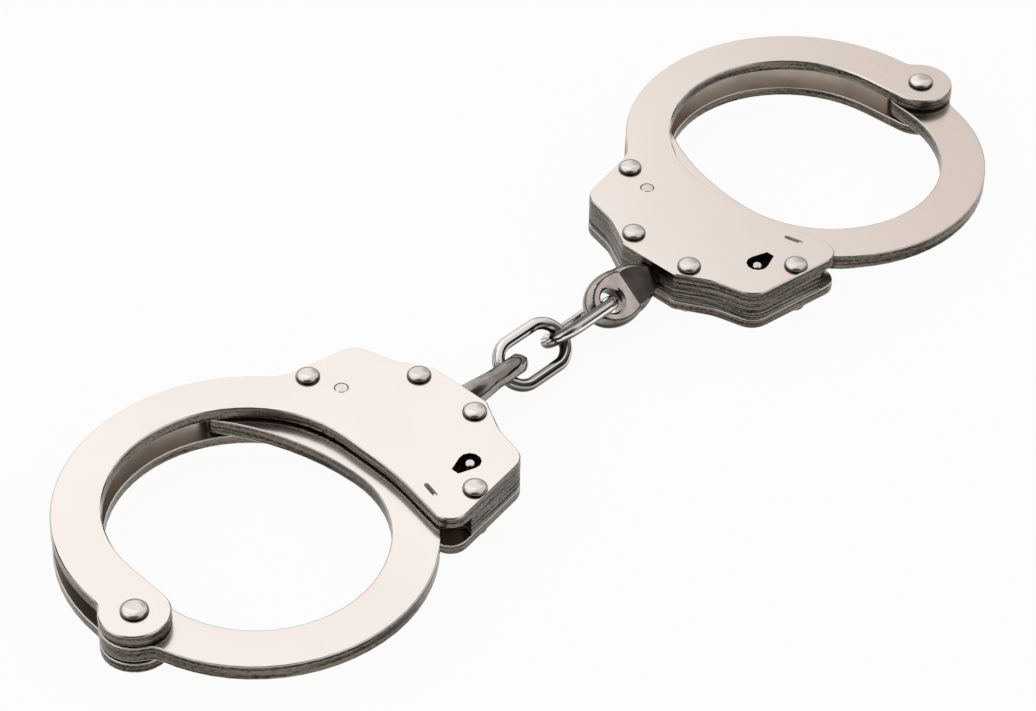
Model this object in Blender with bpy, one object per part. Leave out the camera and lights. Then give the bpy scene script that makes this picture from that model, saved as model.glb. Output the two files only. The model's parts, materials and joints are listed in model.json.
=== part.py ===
"""A pair of chain handcuffs, modelled piece by piece in metres with +Z up.

Each cuff is drawn in a plan frame of its own: the bow's pivot is the origin, +x runs towards the chain
and +y towards the fixed arms. The second cuff is the first one mirrored across the middle of the chain.
The pair lies flat on its lower rivet heads, with the chain stretched along X.
"""

import math
from collections import namedtuple

import bmesh
import bpy
from mathutils import Matrix

# Bow: the single swinging strap with its ratchet teeth
TOOTH_R = 0.05735
TOOTH_DEPTH = 0.0011
TOOTH_PITCH_DEG = 2.5
TOOTH_UNDERCUT_DEG = 10.0
TIP_ANGLE_DEG = 34.5
TIP_PLAIN_DEG = 2.0
TIP_CORNER_R = 0.0012
TIP_WIDTH = 0.00435
BOW_OVERRUN = 0.00365
BOW_BACK = 0.0022
BOW_WIDTH = 0.0088
BOW_THICK = 0.0032
BOW_INNER_TURN_DEG = 0.8

# Pivot end shared by the bow and the two plates
BOSS_R = 0.0064
NECK_R = 0.003
PIVOT_SHANK_R = 0.0018
PIVOT_HEAD_R = 0.00255

# Arms of the two plates
ARM_OVERSIZE = 0.0031
ARM_BACK = 0.0032
ARM_RISE = 0.0057
ARM_WIDTH = 0.01
OPENING_RISE = 0.00135

# Case outline, symmetrical about the swivel's axis
AXIS_RISE = 0.0014
CASE_DEPTH = 0.02375
TOOTH_COVER = 0.00135
FRONT_HALF = 0.0063
FRONT_CORNER_R = 0.0015
VALLEY_OUT = 0.00365
VALLEY_HALF = 0.0166
VALLEY_R = 0.008
SHOULDER_IN = 0.00937
SHOULDER_HALF = 0.0184
SHOULDER_R = 0.0042
BLEND_R = 0.008
BLEND_WALL = 0.00284
ENTRY_HALF = 0.02145
ENTRY_R = 0.0035
ENTRY_EASE = 0.0006

# Layers from bottom to top
PLATE_THICK = 0.0022
PLATE_CHAMFER = 0.00025
SPACER_THICK = 0.00105
SPACER_COUNT = 4
SEAT_GAP = 0.00005
TOOTH_CLEARANCE = 0.0005
SPACER_END_DEG = 62.0
SPACER_SET_BACK = 0.0015
MOUTH_R = 0.001
MOUTH_DEPTH = 0.0027

# Case rivets
RIVET_SHANK_R = 0.0015
RIVET_HEAD_R = 0.0023
RIVET_HEAD_HIGH = 0.00115
RIVET_CROWN_R = 0.001
RIVET_WALL = 0.003
SIDE_RIVET_IN = 0.0183
SIDE_RIVET_HALF = 0.0215
FRONT_RIVET_IN = 0.0037
FRONT_RIVET_HALF = 0.00716
HOLE_CLEARANCE = 0.0001

# Lock cavity inside the spacers
FRONT_WALL = 0.0071
CAVITY_CORNER_R = 0.004
KEY_CORNER_R = 0.003
KEY_SWEEP = 0.00395

# Pawl: the pivoted bar whose three teeth hold the bow
PAWL_PIN_OUT = 0.00765
PAWL_PIN_HALF = 0.0149
PAWL_PIN_R = 0.00128
PAWL_BOSS_R = 0.0029
PAWL_TEETH = 3
PAWL_MESH_DEG = -2.5
PAWL_PLAY = 0.00015
PAWL_LIFT_DEG = 4.2
PAWL_THICK = 0.0032
PAWL_TAIL_OUT = 0.00925
PAWL_TAIL_DROP = 0.0259
PAWL_TAIL_R = 0.0018
PAWL_LIP_END = 0.8
PAWL_LIP_THICK = 0.0015
PAWL_NOTCH_DEG = 2.5
PAWL_CROOK_R = 0.001
PAWL_CROOK_RISE = 0.003
PAWL_STEM_OUT = 0.0055

# Keyhole and its post
KEY_OUT = 0.01005
KEY_HALF = 0.01575
KEYHOLE_R = 0.0021
KEY_NOTCH_REACH = 0.00385
KEY_NOTCH_WIDTH = 0.00164
POST_R = 0.0009
POST_FOOT_R = 0.0012
POST_SINK = 0.001

# Double lock: a short bar that slides in behind the pawl, worked through the slot
LOCK_OUT = 0.0016
LOCK_ANGLE_DEG = -14.4
LOCK_TRAVEL = 0.003
LOCK_INNER = 0.0009
LOCK_OUTER = 0.0026
LOCK_TAIL = 0.0024
LOCK_STEP = 0.0012
LOCK_NOSE = 0.0035
LOCK_NOSE_INNER = 0.00025
LOCK_RAMP_RISE = 0.00095
LOCK_RAMP_RUN = 0.00124
LOCK_SIDE_GAP = 0.0002
LOCK_PLATE_GAP = 0.0003
LUG_LENGTH = 0.0007
LUG_WIDTH = 0.0005
LUG_SINK = 0.0002
SLOT_WIDTH = 0.0009
LEDGE_THICK = 0.0018
LEDGE_CORNER_R = 0.00045

# Leaf spring behind the pawl
SPRING_THICK = 0.0005
SPRING_TOP = 0.0136
SPRING_END_GAP = 0.0009
SPRING_BEND = 0.0045
SPRING_GAP = 0.0003

# Swivels and links of the chain
NECK_SHANK_R = 0.0016
CHANNEL_CLEARANCE = 0.00025
SWIVEL_HEAD_R = 0.0021
SWIVEL_HEAD_LONG = 0.0018
SWIVEL_GAP = 0.0003
BELL_FOOT_R = 0.0023
BELL_R = 0.0044
BELL_LONG = 0.0064
BELL_FLATTEN = 0.34
BALL_REACH = 0.0106
EYE_REACH = 0.0112
EYE_THICK = 0.0038
EYE_HOLE_R = 0.00245
EYE_CHAMFER = 0.0005
LINK_LONG = 0.0183
LINK_WIDE = 0.0114
WIRE_R = 0.00125
LINK_GAP = 0.00025
CHAIN_TILT_DEG = 39.0
LINK_SKEW_DEG = 6.7

# Facets: how far a straight edge may stray from its arc, and sides on round pieces
PLATE_ERROR = 0.00004
SPACER_ERROR = 0.0001
PIN_SIDES = 12
SWIVEL_SIDES = 20
WIRE_SIDES = 10
DOME_STEPS = 3
BELL_STEPS = 5
BALL_STEPS = 8
LINK_STEPS = 14
SPRING_STEPS = 12

# Finishes: colour and roughness of each plated or plain metal
PLATE_FINISH = (0.87, 0.82, 0.78), 0.22
BOW_FINISH = (0.86, 0.80, 0.76), 0.22
SPACER_FINISH = (0.42, 0.38, 0.35), 0.4
RIVET_FINISH = (0.84, 0.79, 0.76), 0.18
LOCK_FINISH = (0.35, 0.33, 0.32), 0.4
CHAIN_FINISH = (0.70, 0.66, 0.63), 0.12

# Radii and centres that follow from the sizes above
ROOT_R = TOOTH_R - TOOTH_DEPTH
TIP_INNER_R = TOOTH_R - TIP_WIDTH
BOW_R = (TOOTH_R + BOW_OVERRUN + BOW_BACK) / 2
BOW_X = BOW_R - BOW_BACK
BOW_INNER_R = BOW_R - BOW_WIDTH
ARM_R = BOW_R + ARM_OVERSIZE
ARM_X = ARM_R - ARM_BACK
OPENING_R = ARM_R - ARM_WIDTH
FRONT_X = TOOTH_R + CASE_DEPTH
CASE_INNER_R = TOOTH_R - TOOTH_COVER
CLEAR_R = TOOTH_R + TOOTH_CLEARANCE
CAVITY_X = FRONT_X - FRONT_WALL
LOCK_R = TOOTH_R + LOCK_OUT
CHANNEL_HALF = NECK_SHANK_R + CHANNEL_CLEARANCE

# Heights
BOTTOM_Z = RIVET_HEAD_HIGH + SEAT_GAP
FLOOR_Z = BOTTOM_Z + PLATE_THICK
CEILING_Z = FLOOR_Z + SPACER_COUNT * (SPACER_THICK + SEAT_GAP) + SEAT_GAP
TOP_Z = CEILING_Z + PLATE_THICK
MIDDLE_Z = (FLOOR_Z + CEILING_Z) / 2

# Places along the chain, measured from a pivot and then from the middle of the pair
BELL_FOOT_X = FRONT_X + SWIVEL_GAP
BELL_END_X = BELL_FOOT_X + BELL_LONG
BALL_X = FRONT_X + BALL_REACH
BALL_R = math.hypot(BELL_R, BALL_X - BELL_END_X)
EYE_X = FRONT_X + EYE_REACH
LINK_SPAN = LINK_LONG - 2 * WIRE_R
LINK_OVERLAP = 2 * WIRE_R + LINK_GAP
PIVOT_X = EYE_X + LINK_SPAN - LINK_OVERLAP / 2
LINK_X = (LINK_SPAN - LINK_OVERLAP) / 2
ROW_Y = (ARM_RISE + ARM_R - BOW_R) / 2

Turn = namedtuple("Turn", "x y r way")


def corner(x, y):
    """A sharp corner of an outline."""
    return Turn(x, y, 0.0, 1)


def polar(radius, degrees):
    """A point in the plan, by its distance and angle from the pivot."""
    return radius * math.cos(math.radians(degrees)), radius * math.sin(math.radians(degrees))


def straight_run(first, second):
    """The two ends of the straight edge that leaves one turn and meets the next without a kink."""
    dx, dy = second.x - first.x, second.y - first.y
    span = math.hypot(dx, dy)
    lean = (second.way * second.r - first.way * first.r) / span
    lean = max(-1.0, min(1.0, lean))
    rise = math.sqrt(1 - lean * lean)
    nx, ny = (lean * dx - rise * dy) / span, (lean * dy + rise * dx) / span
    leave = first.x - first.way * first.r * nx, first.y - first.way * first.r * ny
    arrive = second.x - second.way * second.r * nx, second.y - second.way * second.r * ny
    return leave, arrive


def outline(turns, error):
    """Points of a closed outline that wraps round each turn in order, material on its left."""
    runs = [straight_run(turn, turns[(i + 1) % len(turns)]) for i, turn in enumerate(turns)]
    points = []
    for i, turn in enumerate(turns):
        if turn.r == 0:
            points.append((turn.x, turn.y))
            continue
        arrive, leave = runs[i - 1][1], runs[i][0]
        start = math.atan2(arrive[1] - turn.y, arrive[0] - turn.x)
        end = math.atan2(leave[1] - turn.y, leave[0] - turn.x)
        sweep = turn.way * (end - start) % math.tau
        if math.tau - sweep < 1e-5:
            sweep = 0.0
        steps = max(1, math.ceil(sweep / (2 * math.acos(1 - error / turn.r))))
        for k in range(steps + 1):
            angle = start + turn.way * sweep * k / steps
            points.append((turn.x + turn.r * math.cos(angle), turn.y + turn.r * math.sin(angle)))
    kept = []
    for i, point in enumerate(points):
        if math.dist(point, points[i - 1]) > 2e-6:
            kept.append(point)
    return kept


def fillet_between(ax, ay, a_r, bx, by, b_r, radius):
    """The hollow turn that touches two round shapes from outside, on the left going from a to b."""
    dx, dy = bx - ax, by - ay
    span = math.hypot(dx, dy)
    reach_a, reach_b = a_r + radius, b_r + radius
    along = (span * span + reach_a * reach_a - reach_b * reach_b) / (2 * span)
    aside = math.sqrt(reach_a * reach_a - along * along)
    x = ax + (along * dx - aside * dy) / span
    y = ay + (along * dy + aside * dx) / span
    return Turn(x, y, radius, -1)


def ring(x, y, radius):
    """Points round a small hole."""
    angles = [math.tau * k / PIN_SIDES for k in range(PIN_SIDES)]
    return [(x + radius * math.cos(a), y + radius * math.sin(a)) for a in angles]


def inset(points, depth):
    """The same outline drawn in by a chamfer's depth."""
    drawn = []
    for i, (x, y) in enumerate(points):
        normals = []
        for (x0, y0), (x1, y1) in ((points[i - 1], (x, y)), ((x, y), points[(i + 1) % len(points)])):
            length = math.hypot(x1 - x0, y1 - y0)
            normals.append(((y0 - y1) / length, (x1 - x0) / length))
        (ax, ay), (bx, by) = normals
        scale = depth / (1 + ax * bx + ay * by)
        drawn.append((x + scale * (ax + bx), y + scale * (ay + by)))
    return drawn


def loop_verts(mesh, points, z):
    """Adds one closed loop of vertices at a height."""
    return [mesh.verts.new((x, y, z)) for x, y in points]


def wall(mesh, lower, upper):
    """Faces between two loops, and nothing over their ends."""
    for i in range(len(lower)):
        mesh.faces.new((lower[i - 1], lower[i], upper[i], upper[i - 1]))


def cap(mesh, loops):
    """Fills a flat end between its outer loop and its holes."""
    edges = [mesh.edges.get((loop[i - 1], loop[i])) for loop in loops for i in range(len(loop))]
    bmesh.ops.triangle_fill(mesh, use_beauty=True, use_dissolve=False, edges=edges)


def slab(points, holes, low, high, low_chamfer=0.0, high_chamfer=0.0):
    """A flat piece cut from plate, with its holes and with either rim chamfered."""
    levels = [(points, low + low_chamfer), (points, high - high_chamfer)]
    if low_chamfer:
        levels.insert(0, (inset(points, low_chamfer), low))
    if high_chamfer:
        levels.append((inset(points, high_chamfer), high))
    mesh = bmesh.new()
    rims = [loop_verts(mesh, *level) for level in levels]
    for lower, upper in zip(rims, rims[1:]):
        wall(mesh, lower, upper)
    lows, highs = [rims[0]], [rims[-1]]
    for hole in holes:
        lows.append(loop_verts(mesh, hole, low))
        highs.append(loop_verts(mesh, hole, high))
        wall(mesh, lows[-1], highs[-1])
    cap(mesh, lows)
    cap(mesh, highs)
    bmesh.ops.recalc_face_normals(mesh, faces=mesh.faces)
    return mesh


def turned(profile, sides):
    """A round piece: a profile of radius and height, spun about Z."""
    mesh = bmesh.new()
    verts = [mesh.verts.new((radius, 0.0, z)) for radius, z in profile]
    edges = [mesh.edges.new(pair) for pair in zip(verts, verts[1:])]
    bmesh.ops.spin(
        mesh,
        geom=verts + edges,
        cent=(0, 0, 0),
        axis=(0, 0, 1),
        angle=math.tau,
        steps=sides,
        use_merge=True,
    )
    bmesh.ops.remove_doubles(mesh, verts=mesh.verts, dist=1e-6)
    bmesh.ops.recalc_face_normals(mesh, faces=mesh.faces)
    return mesh


def finish(name, colour, roughness):
    """A plated metal in its own colour."""
    material = bpy.data.materials.new(name)
    material.use_nodes = True
    shader = material.node_tree.nodes["Principled BSDF"]
    shader.inputs["Base Color"].default_value = (*colour, 1.0)
    shader.inputs["Metallic"].default_value = 1.0
    shader.inputs["Roughness"].default_value = roughness
    return material


def piece(name, mesh, material, parent, place=(0, 0, 0), turn=(0, 0, 0), side=1, smooth_deg=30.0):
    """Makes one named object, mirrored in x for the second cuff, and hangs it on its parent."""
    if side < 0:
        bmesh.ops.transform(mesh, matrix=Matrix.Diagonal((-1, 1, 1, 1)), verts=mesh.verts)
        bmesh.ops.reverse_faces(mesh, faces=mesh.faces)
    data = bpy.data.meshes.new(name)
    mesh.to_mesh(data)
    mesh.free()
    data.shade_smooth()
    data.set_sharp_from_angle(angle=math.radians(smooth_deg))
    data.materials.append(material)
    made = bpy.data.objects.new(name, data)
    bpy.context.scene.collection.objects.link(made)
    made.parent = parent
    made.location = (side * place[0], place[1], place[2])
    made.rotation_euler = (turn[0], side * turn[1], side * turn[2])
    return made


def marker(name, place):
    """An empty that carries a group of pieces."""
    empty = bpy.data.objects.new(name, None)
    bpy.context.scene.collection.objects.link(empty)
    empty.location = place
    return empty


def combine(target, tool, operation):
    """Cuts a tool out of a piece, or joins it on, and keeps the tool as a hidden guide."""
    tool.hide_render = True
    tool.display_type = "WIRE"
    step = target.modifiers.new(tool.name, "BOOLEAN")
    step.operation = operation
    step.solver = "EXACT"
    step.object = tool


def lower_front():
    """Case edge from the lower shoulder to the lower front corner, as turns."""
    return [
        Turn(FRONT_X - SHOULDER_IN, AXIS_RISE - SHOULDER_HALF, SHOULDER_R, 1),
        Turn(FRONT_X + VALLEY_OUT, AXIS_RISE - VALLEY_HALF, VALLEY_R, -1),
        Turn(FRONT_X - FRONT_CORNER_R, AXIS_RISE - FRONT_HALF, FRONT_CORNER_R, 1),
    ]


def upper_front():
    """Case edge from the upper front corner over the shoulder to the arms' outer curve, as turns."""
    mirrored = [Turn(t.x, 2 * AXIS_RISE - t.y, t.r, t.way) for t in reversed(lower_front())]
    blend = fillet_between(ARM_X, ARM_RISE, ARM_R, *side_rivet(1), BLEND_WALL, BLEND_R)
    return [*mirrored, blend, Turn(ARM_X, ARM_RISE, ARM_R, 1)]


def entry_corner():
    """Rounded plate corner where the bow goes into the case."""
    y = AXIS_RISE - ENTRY_HALF
    reach = CASE_INNER_R + ENTRY_R + ENTRY_EASE
    return Turn(math.sqrt(reach * reach - y * y), y, ENTRY_R, 1)


def plate_outline():
    """Outline of a plate: pivot boss, wrist opening, case and arm."""
    boss = Turn(0.0, 0.0, BOSS_R, 1)
    opening = Turn(ARM_X, ARM_RISE + OPENING_RISE, OPENING_R, -1)
    case_inside = Turn(0.0, 0.0, CASE_INNER_R, -1)
    neck = fillet_between(0.0, 0.0, BOSS_R, ARM_X, ARM_RISE, ARM_R, NECK_R)
    turns = [boss, opening, case_inside, entry_corner(), *lower_front(), *upper_front(), neck]
    return outline(turns, PLATE_ERROR)


def side_rivet(sign):
    """Place of a rivet beside the arm or beside the bow's entry."""
    return FRONT_X - SIDE_RIVET_IN, AXIS_RISE + sign * SIDE_RIVET_HALF


def front_rivet(sign):
    """Place of a rivet beside the swivel."""
    return FRONT_X - FRONT_RIVET_IN, AXIS_RISE + sign * FRONT_RIVET_HALF


def case_rivets():
    """Places of the four case rivets, from the arm side round to the bow's entry."""
    return [side_rivet(1), front_rivet(1), front_rivet(-1), side_rivet(-1)]


def pawl_pin():
    """Place of the pin that the pawl turns on."""
    return TOOTH_R + PAWL_PIN_OUT, AXIS_RISE + PAWL_PIN_HALF


def key_place():
    """Place of the keyhole and its post."""
    return TOOTH_R + KEY_OUT, AXIS_RISE - KEY_HALF


def lock_frame(outwards, along):
    """A plan point from distances outwards and along, measured from the middle of the lock's slot."""
    cos, sin = math.cos(math.radians(LOCK_ANGLE_DEG)), math.sin(math.radians(LOCK_ANGLE_DEG))
    return (LOCK_R + outwards) * cos - along * sin, (LOCK_R + outwards) * sin + along * cos


def plate_holes(lower):
    """Holes of the lower plate, or of the upper one with its keyhole and slot."""
    rivet_r = RIVET_SHANK_R + HOLE_CLEARANCE
    holes = [ring(x, y, rivet_r) for x, y in case_rivets()]
    holes.append(ring(0.0, 0.0, PIVOT_SHANK_R + HOLE_CLEARANCE))
    holes.append(ring(*pawl_pin(), PAWL_PIN_R + HOLE_CLEARANCE))
    x, y = key_place()
    if lower:
        holes.append(ring(x, y, POST_FOOT_R + HOLE_CLEARANCE))
        return holes
    half = KEY_NOTCH_WIDTH / 2
    keyhole = [
        Turn(x, y, KEYHOLE_R, 1),
        corner(x - KEY_NOTCH_REACH, y + half),
        corner(x - KEY_NOTCH_REACH, y - half),
    ]
    holes.append(outline(keyhole, SPACER_ERROR))
    run = (LOCK_TRAVEL + LUG_LENGTH) / 2 + HOLE_CLEARANCE - SLOT_WIDTH / 2
    slot = [Turn(*lock_frame(0.0, end), SLOT_WIDTH / 2, 1) for end in (-run, run)]
    holes.append(outline(slot, SPACER_ERROR))
    return holes


def make_plates(cuff, side, nickel):
    """The two outer plates."""
    points = plate_outline()
    lower = slab(points, plate_holes(True), BOTTOM_Z, FLOOR_Z, low_chamfer=PLATE_CHAMFER)
    upper = slab(points, plate_holes(False), CEILING_Z, TOP_Z, high_chamfer=PLATE_CHAMFER)
    tag = cuff.name[0]
    piece(f"{tag}_bottom_plate", lower, nickel, cuff, side=side)
    piece(f"{tag}_top_plate", upper, nickel, cuff, side=side)


def spacer_arm_end():
    """Spacer edge from the arm's end along the teeth's path to the cavity, and the cavity's top wall."""
    tip_x = ARM_X + ARM_R * math.cos(math.radians(SPACER_END_DEG))
    tip_y = ARM_RISE + ARM_R * math.sin(math.radians(SPACER_END_DEG))
    inner = polar(CLEAR_R, math.degrees(math.atan2(tip_y, tip_x)))
    ceiling = side_rivet(1)[1] - RIVET_WALL
    mouth = math.sqrt(CLEAR_R * CLEAR_R - ceiling * ceiling)
    return [
        corner(tip_x, tip_y),
        corner(*inner),
        Turn(0.0, 0.0, CLEAR_R, -1),
        corner(mouth, ceiling),
        Turn(CAVITY_X - CAVITY_CORNER_R, ceiling - CAVITY_CORNER_R, CAVITY_CORNER_R, -1),
    ]


def spacer_entry_end():
    """Spacer edge from the cavity's key corner past the lock's ledge to the hollow at the bow's entry."""
    floor_y = key_place()[1] - KEY_SWEEP
    guide = LOCK_OUTER + LOCK_SIDE_GAP
    ledge = -LOCK_TAIL - LOCK_SIDE_GAP
    (x, y), (end_x, end_y) = straight_run(entry_corner(), lower_front()[0])
    length = math.hypot(end_x - x, end_y - y)
    along_x, along_y = (end_x - x) / length, (end_y - y) / length
    aside, deep = SPACER_SET_BACK - MOUTH_R / 2, MOUTH_DEPTH - MOUTH_R
    return [
        Turn(CAVITY_X - KEY_CORNER_R, floor_y + KEY_CORNER_R, KEY_CORNER_R, -1),
        Turn(*lock_frame(guide + LEDGE_CORNER_R, ledge + LEDGE_CORNER_R), LEDGE_CORNER_R, 1),
        corner(*lock_frame(guide, ledge)),
        corner(*lock_frame(TOOTH_CLEARANCE - LOCK_OUT + LOCK_SIDE_GAP, ledge)),
        corner(*lock_frame(TOOTH_CLEARANCE - LOCK_OUT + LOCK_SIDE_GAP, ledge - LEDGE_THICK)),
        Turn(x + aside * along_x - deep * along_y, y + aside * along_y + deep * along_x, MOUTH_R, -1),
        corner(x + SPACER_SET_BACK * along_x, y + SPACER_SET_BACK * along_y),
    ]


def make_spacers(cuff, side, steel, guide_steel):
    """The stack of spacers: whole frames outside, halves either side of the swivel's neck inside."""
    left_wall = AXIS_RISE + CHANNEL_HALF
    right_wall = AXIS_RISE - CHANNEL_HALF
    whole = [*upper_front(), *spacer_arm_end(), *spacer_entry_end(), *lower_front()]
    left = [corner(FRONT_X, left_wall), *upper_front(), *spacer_arm_end(), corner(CAVITY_X, left_wall)]
    right = [corner(CAVITY_X, right_wall), *spacer_entry_end(), *lower_front(), corner(FRONT_X, right_wall)]
    holes = [ring(x, y, RIVET_SHANK_R + HOLE_CLEARANCE) for x, y in case_rivets()]
    tag = cuff.name[0]
    for layer in range(SPACER_COUNT):
        low = FLOOR_Z + SEAT_GAP + layer * (SPACER_THICK + SEAT_GAP)
        high = low + SPACER_THICK
        name = f"{tag}_spacer_{layer + 1}"
        cut_through = low < MIDDLE_Z + SPACER_THICK and high > MIDDLE_Z - SPACER_THICK
        if cut_through:
            for half, turns, near in (("left", left, holes[:2]), ("right", right, holes[2:])):
                mesh = slab(outline(turns, SPACER_ERROR), near, low, high)
                piece(f"{name}_{half}", mesh, steel, cuff, side=side)
            continue
        frame = piece(name, slab(outline(whole, SPACER_ERROR), holes, low, high), steel, cuff, side=side)
        groove = [(0.0, 0.0), (CHANNEL_HALF, 0.0), (CHANNEL_HALF, 2 * FRONT_WALL), (0.0, 2 * FRONT_WALL)]
        place = (CAVITY_X - FRONT_WALL / 2, AXIS_RISE, MIDDLE_Z)
        tilt = (0.0, math.pi / 2, 0.0)
        tool = piece(f"{name}_groove", turned(groove, SWIVEL_SIDES), guide_steel, cuff, place, tilt, side)
        combine(frame, tool, "DIFFERENCE")


def rivet_profile(shank_r, head_r):
    """Half section of a rivet with a low domed head at each end."""
    dome = []
    for k in range(DOME_STEPS + 1):
        a = math.pi / 2 * k / DOME_STEPS
        radius = RIVET_CROWN_R + (head_r - RIVET_CROWN_R) * math.sin(a)
        dome.append((radius, RIVET_HEAD_HIGH * (1 - math.cos(a))))
    lower = [(0.0, 0.0), *dome, (shank_r, RIVET_HEAD_HIGH)]
    return lower + [(r, BOTTOM_Z + TOP_Z - z) for r, z in reversed(lower)]


def make_rivets(cuff, side, nickel):
    """Four case rivets and the pivot rivet, each headed above and below."""
    tag = cuff.name[0]
    for number, (x, y) in enumerate(case_rivets(), start=1):
        mesh = turned(rivet_profile(RIVET_SHANK_R, RIVET_HEAD_R), PIN_SIDES)
        piece(f"{tag}_case_rivet_{number}", mesh, nickel, cuff, (x, y, 0.0), side=side, smooth_deg=40.0)
    mesh = turned(rivet_profile(PIVOT_SHANK_R, PIVOT_HEAD_R), PIN_SIDES)
    piece(f"{tag}_pivot_rivet", mesh, nickel, cuff, side=side, smooth_deg=40.0)


def tooth_faces():
    """Angles of the steep tooth faces, from the tip of the bow back to where its strap swells."""
    cosine = (TOOTH_R**2 - BOW_X**2 - BOW_R**2) / (2 * BOW_X * BOW_R)
    swell = math.acos(cosine)
    start = math.degrees(math.atan2(-BOW_R * math.sin(swell), BOW_X + BOW_R * cosine))
    first = TIP_ANGLE_DEG - TIP_PLAIN_DEG
    count = int((first - start) / TOOTH_PITCH_DEG)
    return start, [first - TOOTH_PITCH_DEG * (k + 1) for k in range(count)]


def overhang_deg():
    """How far a tooth's tip leans over its root."""
    lean = TOOTH_DEPTH * math.tan(math.radians(TOOTH_UNDERCUT_DEG))
    return math.degrees(lean / TOOTH_R)


def make_bow(cuff, side, nickel):
    """The swinging bow: boss, strap, and the toothed tip that runs through the case."""
    boss = Turn(0.0, 0.0, BOSS_R, 1)
    strap = Turn(BOW_X, 0.0, BOW_R, 1)
    neck = fillet_between(BOW_X, 0.0, BOW_R, 0.0, 0.0, BOSS_R, NECK_R)
    start, faces = tooth_faces()
    teeth = [corner(*polar(TOOTH_R, start))]
    for face in reversed(faces):
        teeth.append(corner(*polar(ROOT_R, face)))
        teeth.append(corner(*polar(TOOTH_R, face - overhang_deg())))
    teeth.append(corner(*polar(ROOT_R, TIP_ANGLE_DEG - TIP_PLAIN_DEG)))
    tip_in = math.degrees(TIP_CORNER_R / TIP_INNER_R)
    tip = [
        Turn(*polar(ROOT_R - TIP_CORNER_R, TIP_ANGLE_DEG - tip_in), TIP_CORNER_R, 1),
        Turn(*polar(TIP_INNER_R + TIP_CORNER_R, TIP_ANGLE_DEG - tip_in), TIP_CORNER_R, 1),
    ]
    inside = [
        Turn(0.0, 0.0, TIP_INNER_R, -1),
        Turn(*polar(TIP_INNER_R - BOW_INNER_R, BOW_INNER_TURN_DEG), BOW_INNER_R, -1),
        Turn(BOW_X, 0.0, BOW_INNER_R, -1),
    ]
    points = outline([boss, neck, strap, *teeth, *tip, *inside], PLATE_ERROR)
    hole = ring(0.0, 0.0, PIVOT_SHANK_R + HOLE_CLEARANCE)
    mesh = slab(points, [hole], MIDDLE_Z - BOW_THICK / 2, MIDDLE_Z + BOW_THICK / 2)
    piece(f"{cuff.name[0]}_bow", mesh, nickel, cuff, side=side)


def pawl_faces():
    """Angles of the bow's tooth faces that the pawl's teeth stand against."""
    faces = tooth_faces()[1]
    first = min(range(len(faces)), key=lambda k: abs(faces[k] - PAWL_MESH_DEG))
    return [faces[first] - TOOTH_PITCH_DEG * k for k in range(PAWL_TEETH)]


def pawl_turns():
    """Outline of the pawl in the plan, down in the teeth."""
    pin_x, pin_y = pawl_pin()
    tip_r, gap_r = ROOT_R + PAWL_PLAY, TOOTH_R + PAWL_PLAY
    play = math.degrees(PAWL_PLAY / TOOTH_R)
    faces = [face - play for face in pawl_faces()]
    teeth = []
    for face in faces:
        teeth.append(corner(*polar(gap_r, face - overhang_deg())))
        teeth.append(corner(*polar(tip_r, face)))
    end = faces[-1] - PAWL_LIP_END * TOOTH_PITCH_DEG
    lip_r = gap_r + PAWL_LIP_THICK
    stem_x = TOOTH_R + PAWL_STEM_OUT
    crook_y = polar(gap_r, faces[0])[1] + PAWL_CROOK_RISE
    notch_y = polar(lip_r, end + PAWL_NOTCH_DEG)[1]
    return [
        Turn(pin_x, pin_y, PAWL_BOSS_R, 1),
        Turn(stem_x - PAWL_CROOK_R, crook_y, PAWL_CROOK_R, -1),
        *teeth,
        corner(*polar(tip_r + PAWL_LIP_END * TOOTH_DEPTH, end)),
        corner(*polar(lip_r, end)),
        corner(*polar(lip_r, end + PAWL_NOTCH_DEG)),
        Turn(stem_x - PAWL_CROOK_R, notch_y - PAWL_CROOK_R, PAWL_CROOK_R, -1),
        Turn(TOOTH_R + PAWL_TAIL_OUT, pin_y - PAWL_TAIL_DROP, PAWL_TAIL_R, 1),
    ]


def make_pawl(cuff, side, steel):
    """The pawl on its pin, lifted clear of the bow's teeth, and the pin, flush in both plates."""
    pin_x, pin_y = pawl_pin()
    turns = [Turn(t.x - pin_x, t.y - pin_y, t.r, t.way) for t in pawl_turns()]
    low, high = MIDDLE_Z - PAWL_THICK / 2, MIDDLE_Z + PAWL_THICK / 2
    hole = ring(0.0, 0.0, PAWL_PIN_R + HOLE_CLEARANCE)
    mesh = slab(outline(turns, SPACER_ERROR), [hole], low, high)
    lift = (0.0, 0.0, math.radians(PAWL_LIFT_DEG))
    tag = cuff.name[0]
    piece(f"{tag}_pawl", mesh, steel, cuff, (pin_x, pin_y, 0.0), lift, side)
    pin = [(0.0, BOTTOM_Z), (PAWL_PIN_R, BOTTOM_Z), (PAWL_PIN_R, TOP_Z), (0.0, TOP_Z)]
    piece(f"{tag}_pawl_pin", turned(pin, PIN_SIDES), steel, cuff, (pin_x, pin_y, 0.0), side=side)


def pawl_back(y):
    """Where the back of the lifted pawl stands at a given height in the plan."""
    pin_x, pin_y = pawl_pin()
    tail_x = TOOTH_R + PAWL_TAIL_OUT
    lift = math.radians(PAWL_LIFT_DEG)
    lean = math.atan2(tail_x + PAWL_TAIL_R - pin_x - PAWL_BOSS_R, PAWL_TAIL_DROP)
    return pin_x + PAWL_BOSS_R / math.cos(lean + lift) + (pin_y - y) * math.tan(lean + lift)


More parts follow.
